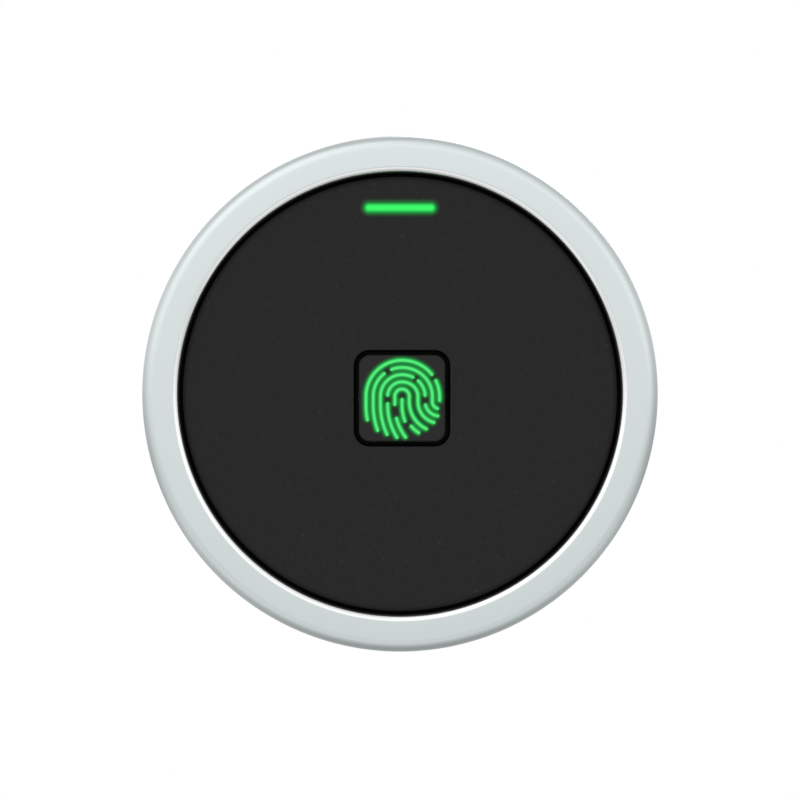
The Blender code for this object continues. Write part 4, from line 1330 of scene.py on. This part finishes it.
wide, tall, x, y, back, front = board_box("crystal")
board_part("crystal_can", "crystal", zinc, "steel", lofted([
    (wide - 0.0006, tall - 0.0006, 0.0004, back), (wide - 0.0004, tall - 0.0004, 0.0005, back + 0.0001),
    (wide - 0.0004, tall - 0.0004, 0.0005, front - 0.0002), (wide, tall, 0.0006, front - 0.0002),
    (wide, tall, 0.0006, front),
], steps=6), (x, y, 0.0))

# Natural nylon is a warm, slightly waxy white.
nylon = grained(
    "moulded_white_nylon", "#DEDACD", 0.0004, relief=(0.15, 0.00002), Roughness=0.45, IOR=1.53,
)
wide, tall, x, y, back, front = board_box("relay")
board_part("relay_case", "relay", nylon, "white_plastic", lofted([
    (wide - 0.0006, tall - 0.0006, 0.0003, back), (wide - 0.0002, tall - 0.0002, 0.0004, back + 0.0003),
    (wide - 0.0002, tall - 0.0002, 0.0004, front - 0.0008), (wide, tall, 0.0004, front - 0.0008),
    (wide, tall, 0.0004, front),
], steps=5), (x, y, 0.0))

# The wire socket has one funnel for each contact.
wide, tall, x, y, back, front = board_box("wire_socket")
socket = bench_object("wire_socket_body", lofted([
    (wide - 0.0004, tall - 0.0004, 0.0002, back),
    (wide, tall, 0.0003, back + 0.0002), (wide, tall, 0.0003, front),
], steps=4), (x, y, 0.0))
contacts, contact_pitch = 5, 0.0025
funnels = []
for number in range(contacts):
    spot = (x + (number - (contacts - 1) / 2) * contact_pitch, y, 0.0)
    funnels.append(bench_object("funnel", lofted([
        (0.0020, 0.0032, 0.0003, back - 0.0002), (0.0015, 0.0024, 0.0003, back + 0.0006),
        (0.0015, 0.0024, 0.0003, back + 0.0036),
    ], steps=3), spot))
carve(socket, funnels)
fit(socket, nylon, "reader", "white_plastic", "wire_socket")
refinish(nylon, "ribbon_socket")

# The inductor is a ferrite drum in a square frame. Pressed powder is a dull grey with fine dark and
# light grains.
ferrite = grained(
    "pressed_ferrite", "#4A4A4C", 0.00015, shades=("#3C3C3E", "#58585A"), detail=3.0, Roughness=0.6,
    IOR=1.8,
)
wide, tall, x, y, back, front = board_box("inductor")
inductor = bench_object("inductor_frame", lofted([
    (wide - 0.0002, tall - 0.0002, 0.0012, back),
    (wide, tall, 0.0012, back + 0.0001), (wide, tall, 0.0012, front),
], steps=8), (x, y, 0.0))
groove = bench_object("groove", turned([
    (0.0020, back - 0.0002), (0.0024, back - 0.0002), (0.0024, back + 0.0012), (0.0020, back + 0.0012),
], 64), (x, y, 0.0))
carve(inductor, [groove])
fit(inductor, ferrite, "reader", "grey_plastic", "inductor")

wide, tall, x, y, back, front = board_box("buzzer")
board_part("buzzer_case", "buzzer", black_abs, "black_plastic", turned(rounded([
    (0.0008, back, 0.0001), (wide / 2 - 0.0006, back, 0.0001), (wide / 2, back + 0.0004, 0.0002),
    (wide / 2, front, 0.0), (0.0, front, 0.0), (0.0, back + 0.0012, 0.0), (0.0008, back + 0.0012, 0.0),
], 4), 96), (x, y, 0.0))

# Drawing leaves fine lines along the can, 0.1 mm apart, that streak its bright shine.
can = grained(
    "drawn_aluminium_can", "#D0D2D3", 0.0001, gloss=(0.18, 0.34), stretch=(1.0, 0.05, 1.0),
    Metallic=1.0, Roughness=0.25,
)
wide, tall, x, y, back, front = board_box("capacitor")
radius = wide / 2
capacitor = bench_object("capacitor_can", turned(rounded([
    (0.0, back, 0.0), (radius, back, 0.0004), (radius, front - 0.0014, 0.0001),
    (radius - 0.0003, front - 0.0011, 0.0001), (radius, front - 0.0008, 0.0001),
    (radius, front, 0.0002), (0.0, front, 0.0),
], 5), 72), (x, y, 0.0))
vents = [bench_object("vent", lofted([
    (w, h, 0.0, back - 0.0001), (w, h, 0.0, back + 0.00008),
]), (x, y, 0.0)) for w, h in ((0.0040, 0.00015), (0.00015, 0.0040))]
carve(capacitor, vents)
fit(capacitor, can, "reader", "steel", "capacitor")

# Small ceramic parts, in rows beside the packages.
# Fired ceramic is a dull, mottled tan.
ceramic = grained(
    "fired_ceramic", "#8C7355", 0.0005, shades=("#7A6247", "#A58A69"), Roughness=0.5, IOR=1.9,
)
board_back = -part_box("main_board")[1].y
part_level = board_back - block_sizes["Height"] / 2 - 0.00002
part_points, part_turns = [], []
for x, y, count, gap_x, gap_y, turn in (
    (0.0070, 0.0215, 8, 0.0014, 0.0, math.pi / 2), (0.0050, 0.0065, 6, 0.0, 0.0014, 0.0),
    (-0.0080, 0.0140, 5, 0.0, 0.0016, 0.0), (-0.0060, -0.0190, 6, 0.0014, 0.0, math.pi / 2),
    (0.0125, 0.0020, 6, 0.0, -0.0014, 0.0),
):
    for number in range(count):
        part_points.append((x + number * gap_x, y + number * gap_y, part_level))
        part_turns.append(turn)
part_host = host_at("part_host", part_points, turn=part_turns)
fit(grow(part_host, "ceramic_parts", block_tree, block_sizes), ceramic, "reader", "chip")


# Back cover
# A moulded ABS disc closes the cavity, on a rubber gasket. It has a hole for the wiring's grommet,
# one for the tamper plunger, and countersinks for its screws.

low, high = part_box("back_cover")
cover_radius, cover_back, cover_front = high.x, -high.y, -low.y
closing = bench_object("back_cover_moulding", turned(rounded([
    (0.0, cover_back, 0.0), (cover_radius, cover_back, 0.0004), (cover_radius, cover_front, 0.0001),
    (0.0, cover_front, 0.0),
], 5), 192))
cable_hole_radius, tamper_hole_radius = 0.0046, 0.0019
low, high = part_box("tamper_plunger")
pin_inset = 0.0025  # how far the plunger's axis is from the end of its arm
tamper_x, tamper_y = low.x + pin_inset, (low.z + high.z) / 2
drill = (0.004, 0.009)  # the levels a hole's tool runs between, past both faces
tools = [
    peg("cable_hole", cable_hole_radius, *drill, (0.0, 0.0, 0.0), 64),
    peg("tamper_hole", tamper_hole_radius, *drill, (tamper_x, tamper_y, 0.0), 40),
]
head_radius, shank_radius = 0.0024, 0.00125
for spot in on_circle(cover_screws):
    tools.append(bench_object("countersink", turned([
        (0.0, cover_back - 0.0010), (head_radius + 0.0013, cover_back - 0.0010),
        (shank_radius + 0.0003, cover_back + head_radius - shank_radius + 0.0001),
        (shank_radius + 0.0003, drill[1]), (0.0, drill[1]),
    ], 40), spot))
carve(closing, tools)
fit(closing, black_abs, "reader", "black_plastic", "back_cover")
refinish(silicone, "cover_gasket")


# Cable grommet
# A rubber bush snapped into the cover's hole, with a rounded bore for the wiring.

low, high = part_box("cable_grommet")
flange_radius, grommet_back, grommet_front = high.x, -high.y, -low.y
bore, waist, lip_thickness = 0.00325, 0.0043, 0.0008
grommet = bench_object("grommet_bush", turned(rounded([
    (bore, grommet_back, 0.0003), (flange_radius, grommet_back, 0.0003),
    (flange_radius, grommet_back + lip_thickness, 0.0002), (waist, grommet_back + lip_thickness, 0.0001),
    (waist, grommet_front - lip_thickness, 0.0001), (flange_radius, grommet_front - lip_thickness, 0.0002),
    (flange_radius, grommet_front, 0.0003), (bore, grommet_front, 0.0003),
], 6), 96))
# EPDM is a soft black with a faint dusty bloom.
epdm = grained(
    "moulded_epdm_rubber", "#17181A", 0.0008, shades=("#131315", "#222327"), detail=4.0, Roughness=0.7,
    IOR=1.5,
)
fit(grommet, epdm, "reader", "rubber", "cable_grommet")


# Label
# A blank polyester label on the cover, silvered, with a plain darker border and rounded corners.

wide, tall, x, y, back, front = board_box("rating_label")
label = bench_object("blank_label", lofted([
    (wide, tall, 0.0010, back), (wide, tall, 0.0010, front),
], steps=8), (x, y, 0.0))
# Silvered film has a quiet grey sheen, inside a printed dark border.
border_width = 0.0009
silvered, tree, shader = new_finish(
    "silvered_polyester", Base_Color=linear("#C8CACB"), Metallic=0.6, Roughness=0.4
)
spot = add(tree, "ShaderNodeSeparateXYZ", {0: add(tree, "ShaderNodeTexCoord").outputs["Object"]})
side = add(tree, "ShaderNodeMath", {0: spot.outputs["X"]}, operation="ABSOLUTE")
level = add(tree, "ShaderNodeMath", {0: spot.outputs["Z"], 1: y}, operation="SUBTRACT")
rise = add(tree, "ShaderNodeMath", {0: level}, operation="ABSOLUTE")
near_side = add(tree, "ShaderNodeMath", {0: side, 1: wide / 2 - border_width}, operation="GREATER_THAN")
near_top = add(tree, "ShaderNodeMath", {0: rise, 1: tall / 2 - border_width}, operation="GREATER_THAN")
border = add(tree, "ShaderNodeMath", {0: near_side, 1: near_top}, operation="MAXIMUM")
shade = add(tree, "ShaderNodeMix", {
    "Factor": border, "A": linear("#C8CACB"), "B": linear("#3E4043"),
}, data_type="RGBA")
drive(shader, Base_Color=shade)
fit(label, silvered, "reader", "label", "rating_label")


# Tamper contact
# An acetal plunger runs in the cover. The wall plate holds its tip in, a steel spring pushes it out
# when the terminal comes off the wall, and its arm works a small switch.

low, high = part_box("tamper_plunger")
tip, spigot_end = -high.y, -low.y
pin_radius, spigot_radius = 0.0015, 0.0010
spring_low, spring_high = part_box("tamper_spring")
arm_front = -spring_high.y - 0.0003
arm_back = arm_front - 0.0006
arm_length, arm_width = high.x - low.x, high.z - low.z
plunger = bench_object("plunger_moulding", turned(rounded([
    (0.0, tip, 0.0), (pin_radius, tip, 0.0006), (pin_radius, arm_back + 0.0002, 0.0),
    (0.0, arm_back + 0.0002, 0.0),
], 6), 64), (tamper_x, tamper_y, 0.0))
arm = bench_object("plunger_arm", lofted([
    (arm_length - 0.0002, arm_width - 0.0002, 0.0023, arm_back),
    (arm_length, arm_width, 0.0024, arm_back + 0.0001),
    (arm_length, arm_width, 0.0024, arm_front - 0.0001),
    (arm_length - 0.0002, arm_width - 0.0002, 0.0023, arm_front),
]), ((low.x + high.x) / 2, tamper_y, 0.0))
spigot = bench_object("plunger_spigot", turned(rounded([
    (0.0, arm_front - 0.0002, 0.0), (spigot_radius, arm_front - 0.0002, 0.0),
    (spigot_radius, spigot_end, 0.0003), (0.0, spigot_end, 0.0),
], 4), 48), (tamper_x, tamper_y, 0.0))
carve(plunger, [arm, spigot], "UNION")
# Acetal is smooth and slippery, with a half-gloss.
acetal = grained(
    "moulded_grey_acetal", "#6F7073", 0.0005, gloss=(0.32, 0.46), detail=3.0, Roughness=0.38, IOR=1.48,
)
fit(plunger, acetal, "plunger", "grey_plastic", "tamper_plunger")

coil_radius, wire_radius, coil_turns = 0.00155, 0.00015, 3.5
spring_back, spring_front = -spring_high.y, -spring_low.y
spring_sizes = {
    "Coil Radius": coil_radius, "Turns": coil_turns, "Wire Radius": wire_radius,
    "Height": spring_front - spring_back - 2 * wire_radius,
}
tree, size = geometry_tree("wound_spring", spring_sizes)
helix = add(tree, "GeometryNodeCurveSpiral", {
    "Resolution": 32, "Rotations": size["Turns"], "Start Radius": size["Coil Radius"],
    "End Radius": size["Coil Radius"], "Height": size["Height"],
})
wire = add(tree, "GeometryNodeCurvePrimitiveCircle", {"Resolution": 12, "Radius": size["Wire Radius"]})
swept = add(tree, "GeometryNodeCurveToMesh", {"Curve": helix, "Profile Curve": wire, "Fill Caps": True})
deliver(tree, swept)
spring = grow(host_at("spring_host"), "spring_wire", tree, spring_sizes)
spring.data.transform(Matrix.Translation((tamper_x, tamper_y, spring_back + wire_radius)))
stand(spring, rolled_steel)
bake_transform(spring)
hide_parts("tamper_spring")

wide, tall, x, y, back, front = board_box("tamper_switch")
button_radius, button_length = 0.0008, 0.0008
switch = bench_object("switch_case", lofted([
    (wide - 0.0002, tall - 0.0002, 0.0003, back + button_length),
    (wide, tall, 0.0004, back + button_length + 0.0001), (wide, tall, 0.0004, front),
], steps=4), (x, y, 0.0))
button = peg("switch_button", button_radius, back, back + button_length + 0.0002, (x, y, 0.0), 40)
carve(switch, [button], "UNION")
fit(switch, epoxy, "reader", "chip", "tamper_switch")
